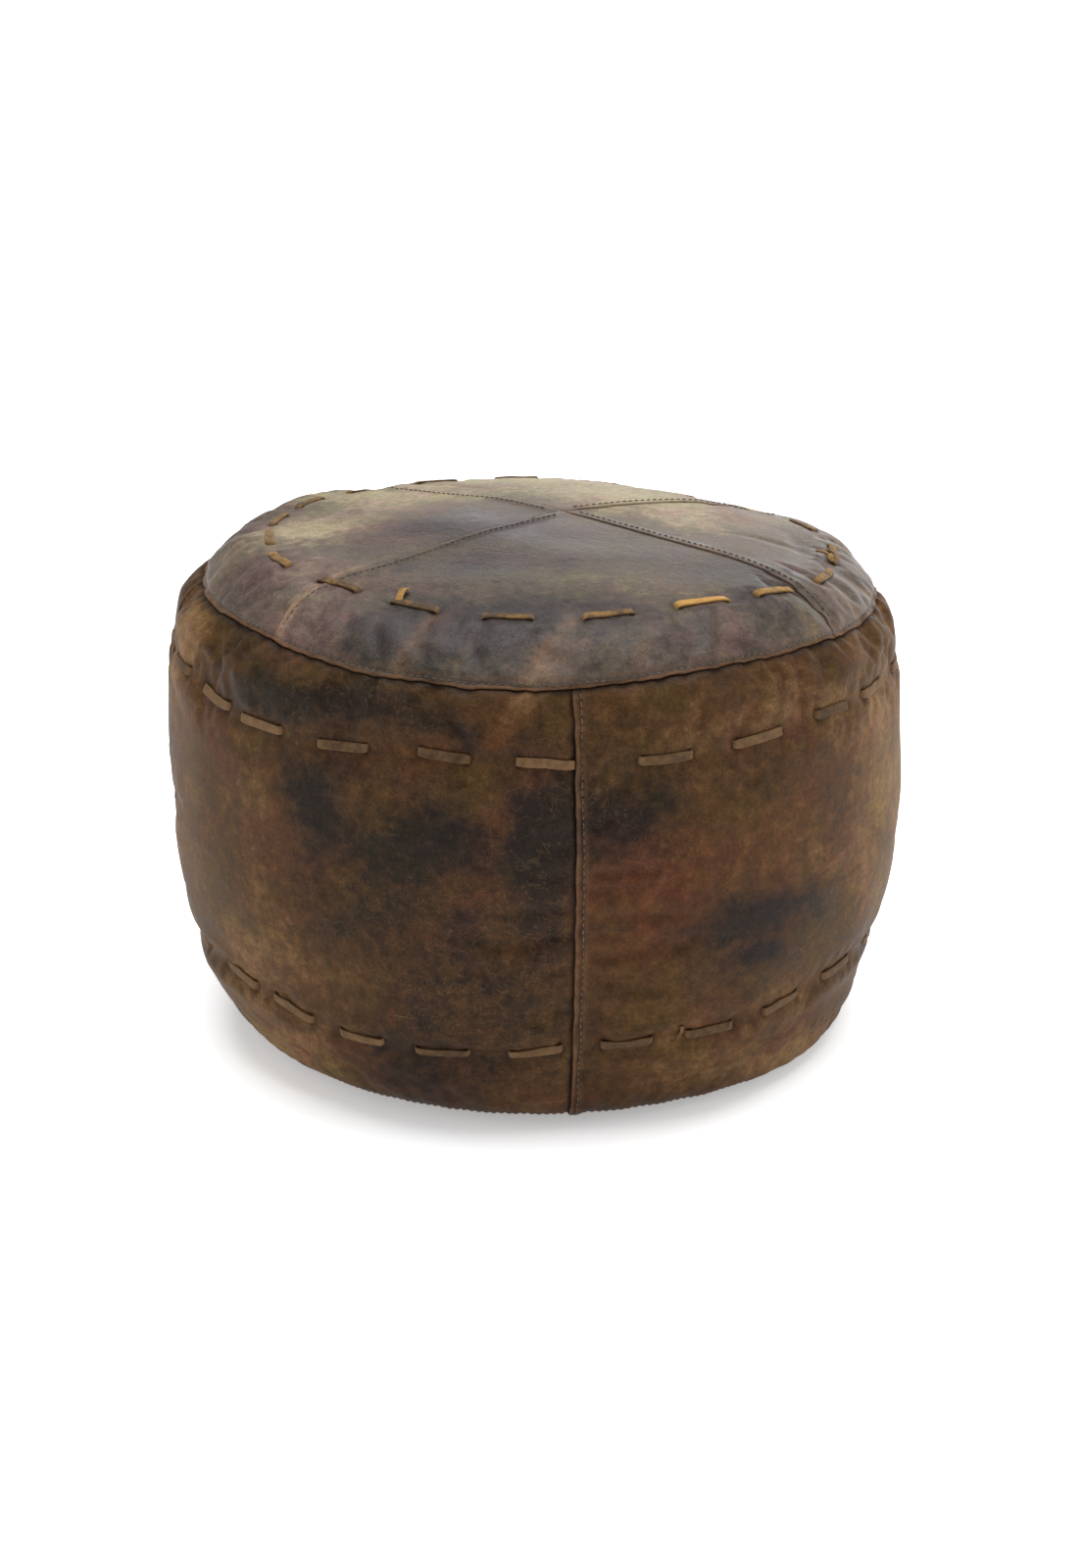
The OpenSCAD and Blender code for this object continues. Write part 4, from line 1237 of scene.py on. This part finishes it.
def stitch_piece(name, node, rows, material):
    points, faces, base = [], [], 0
    for k, (a, s, height) in enumerate(rows):
        p, f = stitches_along(a, s, height, 90 + k)
        points.append(p)
        faces.append(f + base)
        base += len(p)
    piece = make_object(name, np.vstack(points), np.vstack(faces), sharp=80.0)
    return settle(piece, [node], material)


def build_stitching(material):
    turn_a = np.linspace(0.0, 2.0 * math.pi, 1800)
    free = float(smooth(7 * MM, -1 * MM, STITCH_X - RIM_TUCK))
    wave_s, wave_h = rim_waves(turn_a)
    rim_s = S_RIM - STITCH_X + RIM_TUCK + wave_s * free
    stitch_piece("rim_stitches", "rim_thread", [(turn_a, rim_s, RIM_THREAD + wave_h * free)], material)
    s = np.linspace(S_RIM + 7 * MM, S_BASE_SEAM - 7 * MM, 500)
    height = SIDE_THREAD * edge_thinning(s) + 0.28 * MM
    seams = [np.full(s.shape, math.radians(SIDE_SEAM + 90.0 * i) + STITCH_X / RADIUS) for i in range(4)]
    side_rows = [(a, s, height) for a in seams]
    stitch_piece("side_seam_stitches", "side_seam_threads", side_rows, material)
    seat_rows = []
    for angle in np.radians(SEAT_SEAMS):
        rho = np.linspace(12 * MM, float(ray_length(angle, RIM_RADIUS - 8 * MM)), 500)
        x, y = from_cross(angle, rho)
        x, y = x + SEAT_STITCH_X * math.cos(angle), y + SEAT_STITCH_X * math.sin(angle)
        a = np.unwrap(np.arctan2(x, -y))
        seat_rows.append((a, s_on_seat(np.hypot(x, y)), np.full(rho.shape, SEAT_THREAD)))
    stitch_piece("seat_seam_stitches", "seat_seam_threads", seat_rows, material)
    base_s = np.full(turn_a.shape, S_BASE_SEAM - 4.5 * MM)
    base_rows = [(turn_a, base_s, np.full(turn_a.shape, BASE_THREAD))]
    stitch_piece("base_seam_stitches", "base_thread", base_rows, material)


# ---------------------------------------------------------------- inner bag and filling

LINER_AROUND = 256
LINER_STEP = 6 * MM
LINER_INSET = 5 * MM
LINER_THICK = 1.6 * MM
# How far the filling lies inside the bag, and how far the recess lifts it
FILLING_GAP = 0.6 * MM
FILLING_LIFT = CAVITY_DEPTH - 4.5 * MM


def over_recess(points, margin):
    """1 above the zip's recess, 0 from this margin outside it, and 0 high in the pouf."""
    away = stadium(points[..., 0], points[..., 1])
    return smooth(margin, margin - 3 * MM, away) * (points[..., 2] < 40 * MM)


def liner_shell(name, node, lengths, material, bridge=False):
    """A part of the inner bag; its base bridges the zip's recess."""
    a, s = section_grid(LINER_AROUND, lengths)
    ruck = 0.25 * MM * CREASE.at(on_section(a, s)[0], 14 * MM)
    outer = skin.place(a, s, -LINER_INSET + ruck)[0]
    inner = skin.place(a, s, -LINER_INSET - LINER_THICK + ruck)[0]
    if bridge:
        lift = over_recess(outer, 6 * MM) * (CAVITY_DEPTH - LINER_INSET)
        outer[..., 2] += lift
        inner[..., 2] += lift
    piece = shell(name, outer, inner, {"ruck": ruck / MM}, closed=True)
    return settle(piece, [node], material)


def build_inside(cotton, wadding):
    top = np.concatenate([[0.4 * MM], np.arange(4 * MM, S_RIM - 1 * MM, LINER_STEP)])
    liner_shell("liner_top_cloth", "liner_top", top, cotton)
    side = np.arange(S_RIM + 1 * MM, S_BASE_SEAM - 1 * MM, LINER_STEP)
    liner_shell("liner_side_cloth", "liner_side", side, cotton)
    low = np.arange(S_BASE_SEAM + 1 * MM, S_END - 26 * MM, LINER_STEP)
    low = np.concatenate([low, np.linspace(S_END - 24 * MM, S_END - 0.4 * MM, 14)])
    liner_shell("liner_base_cloth", "liner_base", low, cotton, bridge=True)
    lengths = np.arange(4 * MM, S_END - 30 * MM, LINER_STEP)
    lengths = np.concatenate([lengths, np.linspace(S_END - 28 * MM, S_END - 1 * MM, 16)])
    a, s = section_grid(LINER_AROUND, lengths)
    lump = 0.6 * MM * (SWELL.at(on_section(a, s)[0], 26 * MM) - 1.0)
    points = skin.place(a, s, lump - LINER_INSET - LINER_THICK - FILLING_GAP)[0]
    points[..., 2] += over_recess(points, 9 * MM) * FILLING_LIFT
    index = vertex_grid(LINER_AROUND, len(lengths), True)
    faces = np.vstack([grid_quads(index), end_caps(index[:-1, 0], index[:-1, -1])])
    piece = make_object("stuffing_wad", points.reshape(-1, 3), faces, {"ruck": lump / MM})
    settle(piece, ["filling"], wadding)


# ---------------------------------------------------------------- zip tapes


def zip_tape(name, node, material):
    low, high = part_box(node)
    x = np.linspace(low.x, high.x, 236)
    y = np.linspace(low.y, high.y, 10)
    xx, yy = np.meshgrid(x, y, indexing="ij")
    wave = 0.10 * MM * np.sin(xx / (9 * MM)) * np.abs(yy) / (14 * MM)
    outer = np.stack([xx, yy, low.z + wave + 0.0 * xx], -1)
    inner = np.stack([xx, yy, high.z + wave + 0.0 * xx], -1)
    edge = hump(np.abs(yy), 2.6 * MM, 0.8 * MM)
    piece = shell(name, outer, inner, {"edge": edge})
    return settle(piece, [node], material)


# ---------------------------------------------------------------- materials


class Nodes:
    """Short helpers for one material's node tree."""

    def __init__(self, name):
        self.material = bpy.data.materials.new(name)
        self.material.use_nodes = True
        self.tree = self.material.node_tree
        self.shader = self.tree.nodes["Principled BSDF"]
        self.place = self.add("TexCoord").outputs["Object"]

    def add(self, kind, sockets=(), **settings):
        """A node with its settings, and with values or links for its sockets."""
        node = self.tree.nodes.new("ShaderNode" + kind)
        for name, value in settings.items():
            setattr(node, name, value)
        self.feed(node, sockets)
        return node

    def feed(self, node, sockets):
        for name, value in dict(sockets).items():
            if isinstance(value, bpy.types.NodeSocket):
                self.tree.links.new(value, node.inputs[name])
            else:
                node.inputs[name].default_value = value

    def set(self, **sockets):
        """Values or links for the shader; an underscore stands for a space in a socket's name."""
        self.feed(self.shader, {name.replace("_", " "): value for name, value in sockets.items()})

    def value(self, name):
        return self.add("Attribute", attribute_name=name).outputs["Fac"]

    def maths(self, operation, a, b=0.0, clamp=False):
        return self.add("Math", {0: a, 1: b}, operation=operation, use_clamp=clamp).outputs[0]

    def times(self, a, b, clamp=False):
        return self.maths("MULTIPLY", a, b, clamp)

    def plus(self, a, b, clamp=False):
        return self.maths("ADD", a, b, clamp)

    def noise(self, scale, detail=3.0, rough=0.55, distortion=0.0, place=None):
        sockets = {"Scale": scale, "Detail": detail, "Roughness": rough, "Distortion": distortion}
        return self.add("TexNoise", {"Vector": place or self.place, **sockets}).outputs["Fac"]

    def stretch(self, scale, turned=(0.0, 0.0, 0.0), place=None):
        sockets = {"Vector": place or self.place, "Scale": scale, "Rotation": turned}
        return self.add("Mapping", sockets).outputs["Vector"]

    def moved(self, amount):
        """The place, moved by an attribute so that panels don't share one pattern."""
        joined = self.add("CombineXYZ", {0: amount, 1: amount, 2: amount})
        return self.add("VectorMath", {0: self.place, 1: joined.outputs[0]}, operation="ADD").outputs[0]

    def remap(self, value, low, high, out_low=0.0, out_high=1.0):
        """Out values low to high for in values low to high, with a soft start and end."""
        sockets = {"Value": value, "From Min": low, "From Max": high, "To Min": out_low, "To Max": out_high}
        return self.add("MapRange", sockets, interpolation_type="SMOOTHSTEP").outputs["Result"]

    def mix(self, share, a, b, blend="MIX"):
        a, b = ((*colour, 1.0) if isinstance(colour, tuple) else colour for colour in (a, b))
        node = self.add("Mix", data_type="RGBA", blend_type=blend, clamp_factor=True)
        self.feed(node, {0: share, 6: a, 7: b})
        return node.outputs[2]

    def bump(self, height, distance, strength=1.0, under=None):
        node = self.add("Bump", {"Strength": strength, "Distance": distance, "Height": height})
        if under is not None:
            self.feed(node, {"Normal": under})
        return node.outputs["Normal"]


DARK = (0.0175, 0.0125, 0.0100)
BROWN = (0.0640, 0.0315, 0.0125)
TAN = (0.1750, 0.1000, 0.0440)
RUST = (0.0950, 0.0340, 0.0140)
# The seat's colours are lighter and greyer than the side's: partly the seat's own leather, partly painted
# sheen from the bright sky on the top
SEAT_SHEEN_RUST = (0.1500, 0.0800, 0.0440)
SEAT_SHEEN_DARK = (0.0290, 0.0225, 0.0210)
SEAT_SHEEN_BROWN = (0.0860, 0.0620, 0.0460)
SEAT_SHEEN_TAN = (0.2500, 0.2050, 0.1300)
# tan of the painted highlight, with some wear, on the crests of edges and seams
EDGE_WEAR_AND_HIGHLIGHT_TAN = (0.1500, 0.0780, 0.0420)
# soil, and painted shade for seams, slits and the underside of the rim's edge
SOIL_AND_SHADE = (0.0080, 0.0050, 0.0040)
OLIVE_CAST = (0.90, 1.08, 0.78)
PLUM_CAST = (1.10, 0.82, 1.06)


def leather_level(n, place, broad, cloudy, mottle):
    """How light the leather is, from the placed tones and from noise of four sizes."""
    level = n.times(n.value("tone"), 0.30)
    for field, share in ((broad, 0.50), (cloudy, 0.36), (mottle, 0.30)):
        level = n.plus(level, n.times(field, share))
    # the hide was stretched round the stuffing, so its grain runs level
    drawn = n.noise(1.0, 4.0, 0.65, 0.3, n.stretch((38.0, 38.0, 210.0), place=place))
    return n.plus(level, n.times(drawn, 0.16))


def leather_dye(n, level, cloudy):
    """Dark, brown and tan with rust in places, and slow drifts of hue towards olive and plum; the seat's set
    is lighter and greyer with painted sheen.
    """
    dark_share = n.remap(level, 0.75, 0.37)
    tan_share = n.remap(level, 0.67, 1.07)
    side = n.mix(tan_share, n.mix(dark_share, BROWN, DARK), TAN)
    seat = n.mix(tan_share, n.mix(dark_share, SEAT_SHEEN_BROWN, SEAT_SHEEN_DARK), SEAT_SHEEN_TAN)
    colour = n.mix(n.value("grey"), side, seat)
    rust_level = n.times(n.value("rust"), n.remap(cloudy, 0.35, 0.65, 0.35, 1.0))
    rusty = n.mix(n.value("grey"), RUST, SEAT_SHEEN_RUST)
    colour = n.mix(n.times(rust_level, 0.62, True), colour, rusty)
    hue = n.noise(17.0, 3.0, 0.6, 0.8, n.moved(4.3))
    for cast, low, high in ((OLIVE_CAST, 0.50, 0.68), (PLUM_CAST, 0.49, 0.32)):
        share = n.remap(hue, low, high, 0.0, 0.50)
        colour = n.mix(share, colour, n.mix(1.0, colour, cast, "MULTIPLY"))
    return colour


def leather_veins(n, place):
    """Fine light veins where the waxed leather has been bent and rubbed, and how strong they are."""
    vein_field = n.noise(52.0, 4.0, 0.6, 1.2, place)
    vein = n.remap(n.maths("ABSOLUTE", n.maths("SUBTRACT", vein_field, 0.5)), 0.0, 0.02, 1.0, 0.0)
    vein_where = n.remap(n.noise(9.0, 2.0, 0.5, 0.0, place), 0.48, 0.68)
    return vein, n.times(n.times(vein, vein_where), 0.20)


def leather_scratches(n, place, mottle):
    """Scattered short scratches and the long ones that are placed."""
    scratch_place = n.stretch((14.0, 14.0, 520.0), (0.5, 0.9, 0.2), place)
    scratch = n.remap(n.noise(1.0, 2.0, 0.5, 0.15, scratch_place), 0.70, 0.76)
    scratch_where = n.remap(n.noise(12.0, 2.0, 0.5, 0.0, place), 0.52, 0.62)
    scratches = n.times(scratch, scratch_where)
    return n.maths("MAXIMUM", scratches, n.times(n.value("scratch"), n.remap(mottle, 0.3, 0.6)))


def fine_shade(n, place, speck, mottle):
    """A grey near 1 that carries the grain of the leather."""
    fine = n.remap(speck, 0.30, 0.70, 0.82, 1.18)
    fine = n.times(fine, n.remap(mottle, 0.25, 0.75, 0.78, 1.22))
    fine = n.times(fine, n.remap(n.noise(330.0, 4.0, 0.7, 0.4, place), 0.28, 0.72, 0.84, 1.16))
    return n.add("CombineXYZ", {0: fine, 1: fine, 2: fine}).outputs[0]


def leather_material():
    n = Nodes("waxed_leather")
    place = n.moved(n.value("shift"))
    broad = n.noise(7.0, 4.0, 0.55, 0.4, place)
    cloudy = n.noise(26.0, 5.0, 0.62, 0.6, place)
    mottle = n.noise(110.0, 5.0, 0.65, 0.2, place)
    speck = n.noise(900.0, 2.0, 0.6, 0.0, place)
    level = leather_level(n, place, broad, cloudy, mottle)
    colour = leather_dye(n, level, cloudy)
    vein, vein_share = leather_veins(n, place)
    colour = n.mix(vein_share, colour, TAN)
    scratches = leather_scratches(n, place, mottle)
    colour = n.mix(n.times(scratches, 0.40), colour, TAN)
    colour = n.mix(1.0, colour, fine_shade(n, place, speck, mottle), "MULTIPLY")
    # lighter tan on the crests of edges and seams: painted highlight, with some wear
    worn_and_lit = n.times(n.value("ridge"), n.remap(mottle, 0.30, 0.62, 0.45, 1.0))
    colour = n.mix(n.times(worn_and_lit, 0.85), colour, EDGE_WEAR_AND_HIGHLIGHT_TAN)
    # the dark attribute mixes in soil and painted shade: seams, slits and under the rim's rolled edge
    colour = n.mix(n.times(n.value("dark"), 0.80), colour, SOIL_AND_SHADE)
    rough = n.remap(level, 0.45, 0.95, 0.42, 0.60)
    rough = n.plus(rough, n.remap(mottle, 0.25, 0.75, -0.06, 0.06))
    rough = n.plus(rough, n.times(scratches, 0.08))
    pebble = n.add("TexVoronoi", {"Vector": place, "Scale": 760.0}, feature="SMOOTH_F1")
    normal = n.bump(pebble.outputs["Distance"], 0.00016, 0.55)
    normal = n.bump(n.noise(300.0, 4.0, 0.6, 0.3, place), 0.0005, 0.55, normal)
    normal = n.bump(n.noise(70.0, 3.0, 0.55, 0.4, place), 0.0011, 0.45, normal)
    normal = n.bump(vein, -0.0002, 0.5, normal)
    normal = n.bump(scratches, -0.0001, 0.5, normal)
    n.set(Base_Color=colour, Roughness=rough, Normal=normal)
    # the seat still has its wax, the side is rubbed dull
    n.set(Specular_IOR_Level=n.remap(n.value("grey"), 0.0, 1.0, 0.05, 0.14))
    return n.material


# Dull, bright and frayed leather of the laces
SEAT_LACE_COLOURS = (0.060, 0.038, 0.022), (0.40, 0.220, 0.060), (0.20, 0.12, 0.06)
SIDE_LACE_COLOURS = (0.046, 0.025, 0.012), (0.155, 0.088, 0.040), (0.17, 0.098, 0.050)


def lace_material(name, dull, bright, fuzz):
    n = Nodes(name)
    fibre = n.noise(420.0, 4.0, 0.7, 0.3)
    blotch = n.noise(130.0, 3.0, 0.6)
    share = n.plus(n.value("tone"), n.remap(blotch, 0.3, 0.7, -0.25, 0.25), True)
    colour = n.mix(share, dull, bright)
    dirty = (dull[0] * 0.5, dull[1] * 0.45, dull[2] * 0.4)
    colour = n.mix(n.remap(fibre, 0.50, 0.75, 0.0, 0.5), colour, dirty)
    colour = n.mix(n.times(n.value("edge"), 0.45), colour, fuzz)
    normal = n.bump(fibre, 0.0004, 0.7)
    n.set(Base_Color=colour, Roughness=n.remap(blotch, 0.3, 0.7, 0.55, 0.75), Normal=normal)
    n.set(Specular_IOR_Level=0.1)
    return n.material


def thread_material():
    n = Nodes("waxed_thread")
    twist = n.noise(2600.0, 2.0, 0.5)
    soil = n.noise(60.0, 3.0, 0.6)
    colour = n.mix(n.remap(soil, 0.35, 0.65), (0.050, 0.028, 0.015), (0.120, 0.070, 0.036))
    colour = n.mix(n.remap(twist, 0.45, 0.7, 0.0, 0.5), colour, (0.030, 0.018, 0.011))
    n.set(Base_Color=colour, Roughness=n.remap(soil, 0.3, 0.7, 0.5, 0.68), Normal=n.bump(twist, 0.0002, 0.8))
    n.set(Sheen_Weight=0.1)
    return n.material


def woven_material(name, light, dark, pitch, roughness):
    """Plain weave in all three planes, from crossed waves, with soil in the hollows."""
    n = Nodes(name)
    parts = n.add("SeparateXYZ", {0: n.place})
    waves = []
    for axis in range(3):
        turned = n.times(parts.outputs[axis], math.pi / pitch)
        waves.append(n.maths("ABSOLUTE", n.maths("SINE", turned)))
    over, under = n.times(waves[0], waves[1]), n.times(waves[1], waves[2])
    weave = n.maths("MAXIMUM", over, under)
    weave = n.maths("MAXIMUM", weave, n.times(waves[0], waves[2]))
    slub = n.noise(90.0, 4.0, 0.6)
    colour = n.mix(n.remap(weave, 0.2, 0.9), dark, light)
    colour = n.mix(n.remap(slub, 0.4, 0.7, 0.0, 0.35), colour, dark)
    rough = n.remap(slub, 0.3, 0.7, roughness - 0.06, roughness + 0.06)
    n.set(Base_Color=colour, Roughness=rough, Normal=n.bump(weave, pitch * 0.3, 0.8))
    n.set(Sheen_Weight=0.3, Specular_IOR_Level=0.3)
    return n.material


def wadding_material():
    n = Nodes("cotton_wadding")
    tuft = n.noise(120.0, 5.0, 0.65, 0.8)
    strand = n.noise(600.0, 3.0, 0.6, 1.0)
    colour = n.mix(n.remap(tuft, 0.3, 0.7), (0.46, 0.42, 0.35), (0.72, 0.69, 0.62))
    normal = n.bump(strand, 0.0006, 0.6, n.bump(tuft, 0.003, 0.6))
    n.set(Base_Color=colour, Roughness=n.remap(strand, 0.3, 0.7, 0.85, 0.95), Normal=normal)
    n.set(Sheen_Weight=0.4)
    return n.material


def brass_material():
    n = Nodes("aged_brass")
    stain = n.noise(260.0, 5.0, 0.65, 0.5)
    scuff = n.noise(1.0, 3.0, 0.6, 0.0, n.stretch((900.0, 90.0, 900.0)))
    colour = n.mix(n.remap(stain, 0.42, 0.68), (0.58, 0.42, 0.18), (0.24, 0.15, 0.07))
    rough = n.plus(n.remap(stain, 0.3, 0.7, 0.28, 0.48), n.remap(scuff, 0.3, 0.7, -0.05, 0.08))
    n.set(Base_Color=colour, Roughness=rough, Metallic=1.0, Normal=n.bump(scuff, 0.00005, 0.6))
    return n.material


# ---------------------------------------------------------------- build

leather = leather_material()
seat_lace = lace_material("seat_lace_leather", *SEAT_LACE_COLOURS)
side_lace = lace_material("side_lace_leather", *SIDE_LACE_COLOURS)
thread = thread_material()
cotton = woven_material("unbleached_cotton", (0.70, 0.66, 0.56), (0.46, 0.42, 0.34), 1.1 * MM, 0.85)
tape = woven_material("zip_tape_weave", (0.045, 0.036, 0.030), (0.014, 0.011, 0.010), 0.9 * MM, 0.78)
brass = brass_material()

SIDES = ("front_right", "back_right", "back_left", "front_left")
for number, corner in enumerate(SIDES):
    side_cover(number, "side_cover_" + corner, "side_panel_" + corner, leather)
for number, part in enumerate(("front", "right", "back", "left")):
    seat_cover(number, "seat_cover_" + part, "seat_panel_" + part, leather)
base_cover(-1, "base_cover_front", "base_panel_front", leather)
base_cover(1, "base_cover_back", "base_panel_back", leather)

# How bright each stitch of the seat's lace is, counted from the one nearest the front
LACE_BRIGHTNESS = {0: 0.1, 1: 0.22, 2: 0.95, 3: 0.50, 4: 0.3, -1: 0.0, -3: 0.35, -4: 0.35}
SEAT_PLAN[3][:] *= 0.35
for stitch, brightness in LACE_BRIGHTNESS.items():
    SEAT_PLAN[3][stitch] = brightness

# Free ends: points as azimuth, mm from the lacing row (below 0 is towards the middle) and mm of height
SEAT_TAILS = (
    (((-27.5, 0, 0.6), (-27.9, -5, 3.2), (-28.2, -11, 4.0), (-28.0, -17, 2.2)), 5.0, 0.55),
    (((80.0, 2, 0.8), (81.6, -3, 2.6), (82.4, -9, 3.0), (81.8, -15, 1.6)), 4.0, 0.3),
    (((80.0, 0, 1.0), (82.6, 2, 2.6), (85.2, 0, 2.8), (86.8, -5, 1.5)), 3.4, 0.25),
    (((79.2, -3, 1.2), (80.4, -5, 3.4), (81.8, -3, 3.8), (82.4, 1, 2.2)), 4.0, 0.4),
)
LOWER_TAILS = (
    (((22.0, 0, 0.4), (22.2, -5, 1.8), (22.0, -11, 1.6)), 2.6, 0.6),
)
lace_piece("seat_thong", "seat_lace", 0, seat_lace, SEAT_TAILS)
lace_piece("upper_side_thong", "upper_side_lace", 1, side_lace, ())
lace_piece("lower_side_thong", "lower_side_lace", 2, side_lace, LOWER_TAILS)
build_stitching(thread)
build_inside(cotton, wadding_material())
zip_tape("zip_tape_front_cloth", "zip_tape_front", tape)
zip_tape("zip_tape_back_cloth", "zip_tape_back", tape)

METALS = ("teeth_front", "teeth_back", "top_stops", "bottom_stop", "slider", "pull")
for metal in METALS:
    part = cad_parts["zip_" + metal]
    part.data.materials.clear()
    part.data.materials.append(brass)

# ---------------------------------------------------------------- floor, light and camera

# A white sweep lit from below, as product shots have, keeps the contact shadow pale
FLOOR_GLOW = 0.34
WHITE = (1.0, 1.0, 1.0, 1.0)


def floor_material():
    n = Nodes("pale_floor")
    cloud = n.noise(0.8, 2.0)
    n.set(Base_Color=n.mix(cloud, (0.92, 0.92, 0.93), (0.95, 0.95, 0.95)), Roughness=0.9)
    n.set(Specular_IOR_Level=0.1, Emission_Color=WHITE, Emission_Strength=FLOOR_GLOW)
    see_through = n.add("BsdfTransparent")
    facing = n.add("NewGeometry")
    sides = {0: facing.outputs["Backfacing"], 1: n.shader.outputs[0], 2: see_through.outputs[0]}
    both = n.add("MixShader", sides)
    n.feed(n.tree.nodes["Material Output"], {"Surface": both.outputs[0]})
    return n.material


FLOOR_HALF = 40.0
floor_mesh = bpy.data.meshes.new("floor")
corners = [(x * FLOOR_HALF, y * FLOOR_HALF, -0.5 * MM) for x, y in ((-1, -1), (1, -1), (1, 1), (-1, 1))]
floor_mesh.from_pydata(corners, [], [(0, 1, 2, 3)])
floor = add_object("floor", floor_mesh)
floor_mesh.materials.append(floor_material())


def area_light(name, location, target, size, power):
    """A white window of a size in metres and a power in watts that faces its target."""
    data = bpy.data.lights.new(name, "AREA")
    data.shape = "RECTANGLE"
    data.size, data.size_y = size
    data.energy = power
    lamp = add_object(name, data)
    lamp.location = location
    lamp.rotation_mode = "QUATERNION"
    lamp.rotation_quaternion = (Vector(target) - Vector(location)).to_track_quat("-Z", "Y")


area_light("back_window", (1.2, 2.9, 0.80), (0.0, 0.0, 0.35), (3.2, 0.9), 30.0)
area_light("left_fill", (-2.6, -0.6, 1.2), (0.0, 0.0, 0.2), (1.8, 1.8), 9.0)
area_light("right_fill", (2.6, -0.2, 1.2), (0.0, 0.0, 0.2), (1.8, 1.8), 18.0)

SKY_STRENGTH = 3.8
SKY_WIDTH = 55.0
WORLD_STRENGTH = 0.46
sky = bpy.data.lights.new("soft_sky", "SUN")
sky.energy = SKY_STRENGTH
sky.angle = math.radians(SKY_WIDTH)
sky_lamp = add_object("soft_sky", sky)
sky_lamp.rotation_euler = (math.radians(-11.0), math.radians(2.0), 0.0)

world = bpy.data.worlds.new("studio")
bpy.context.scene.world = world
world.use_nodes = True
background = world.node_tree.nodes["Background"]
background.inputs["Color"].default_value = WHITE
background.inputs["Strength"].default_value = WORLD_STRENGTH

# The camera: metres from the origin, degrees above it, degrees of downward tilt, and a step aside; then
# its lens and sensor in mm and how far it sees in metres
CAMERA_DISTANCE = 1.96
CAMERA_RISE = 25.3
CAMERA_DOWN = 20.7
CAMERA_ASIDE = 4.1 * MM
CAMERA_LENS = 55.7
CAMERA_SENSOR = 36.0
CAMERA_REACH = 200.0
camera_data = bpy.data.cameras.new("camera")
camera_data.lens = CAMERA_LENS
camera_data.sensor_width = CAMERA_SENSOR
camera_data.clip_end = CAMERA_REACH
camera = add_object("camera", camera_data)
rise = math.radians(CAMERA_RISE)
camera.location = (CAMERA_ASIDE, -CAMERA_DISTANCE * math.cos(rise), CAMERA_DISTANCE * math.sin(rise))
camera.rotation_euler = (math.radians(90.0 - CAMERA_DOWN), 0.0, 0.0)
bpy.context.scene.camera = camera
bpy.context.scene.view_settings.view_transform = "Standard"
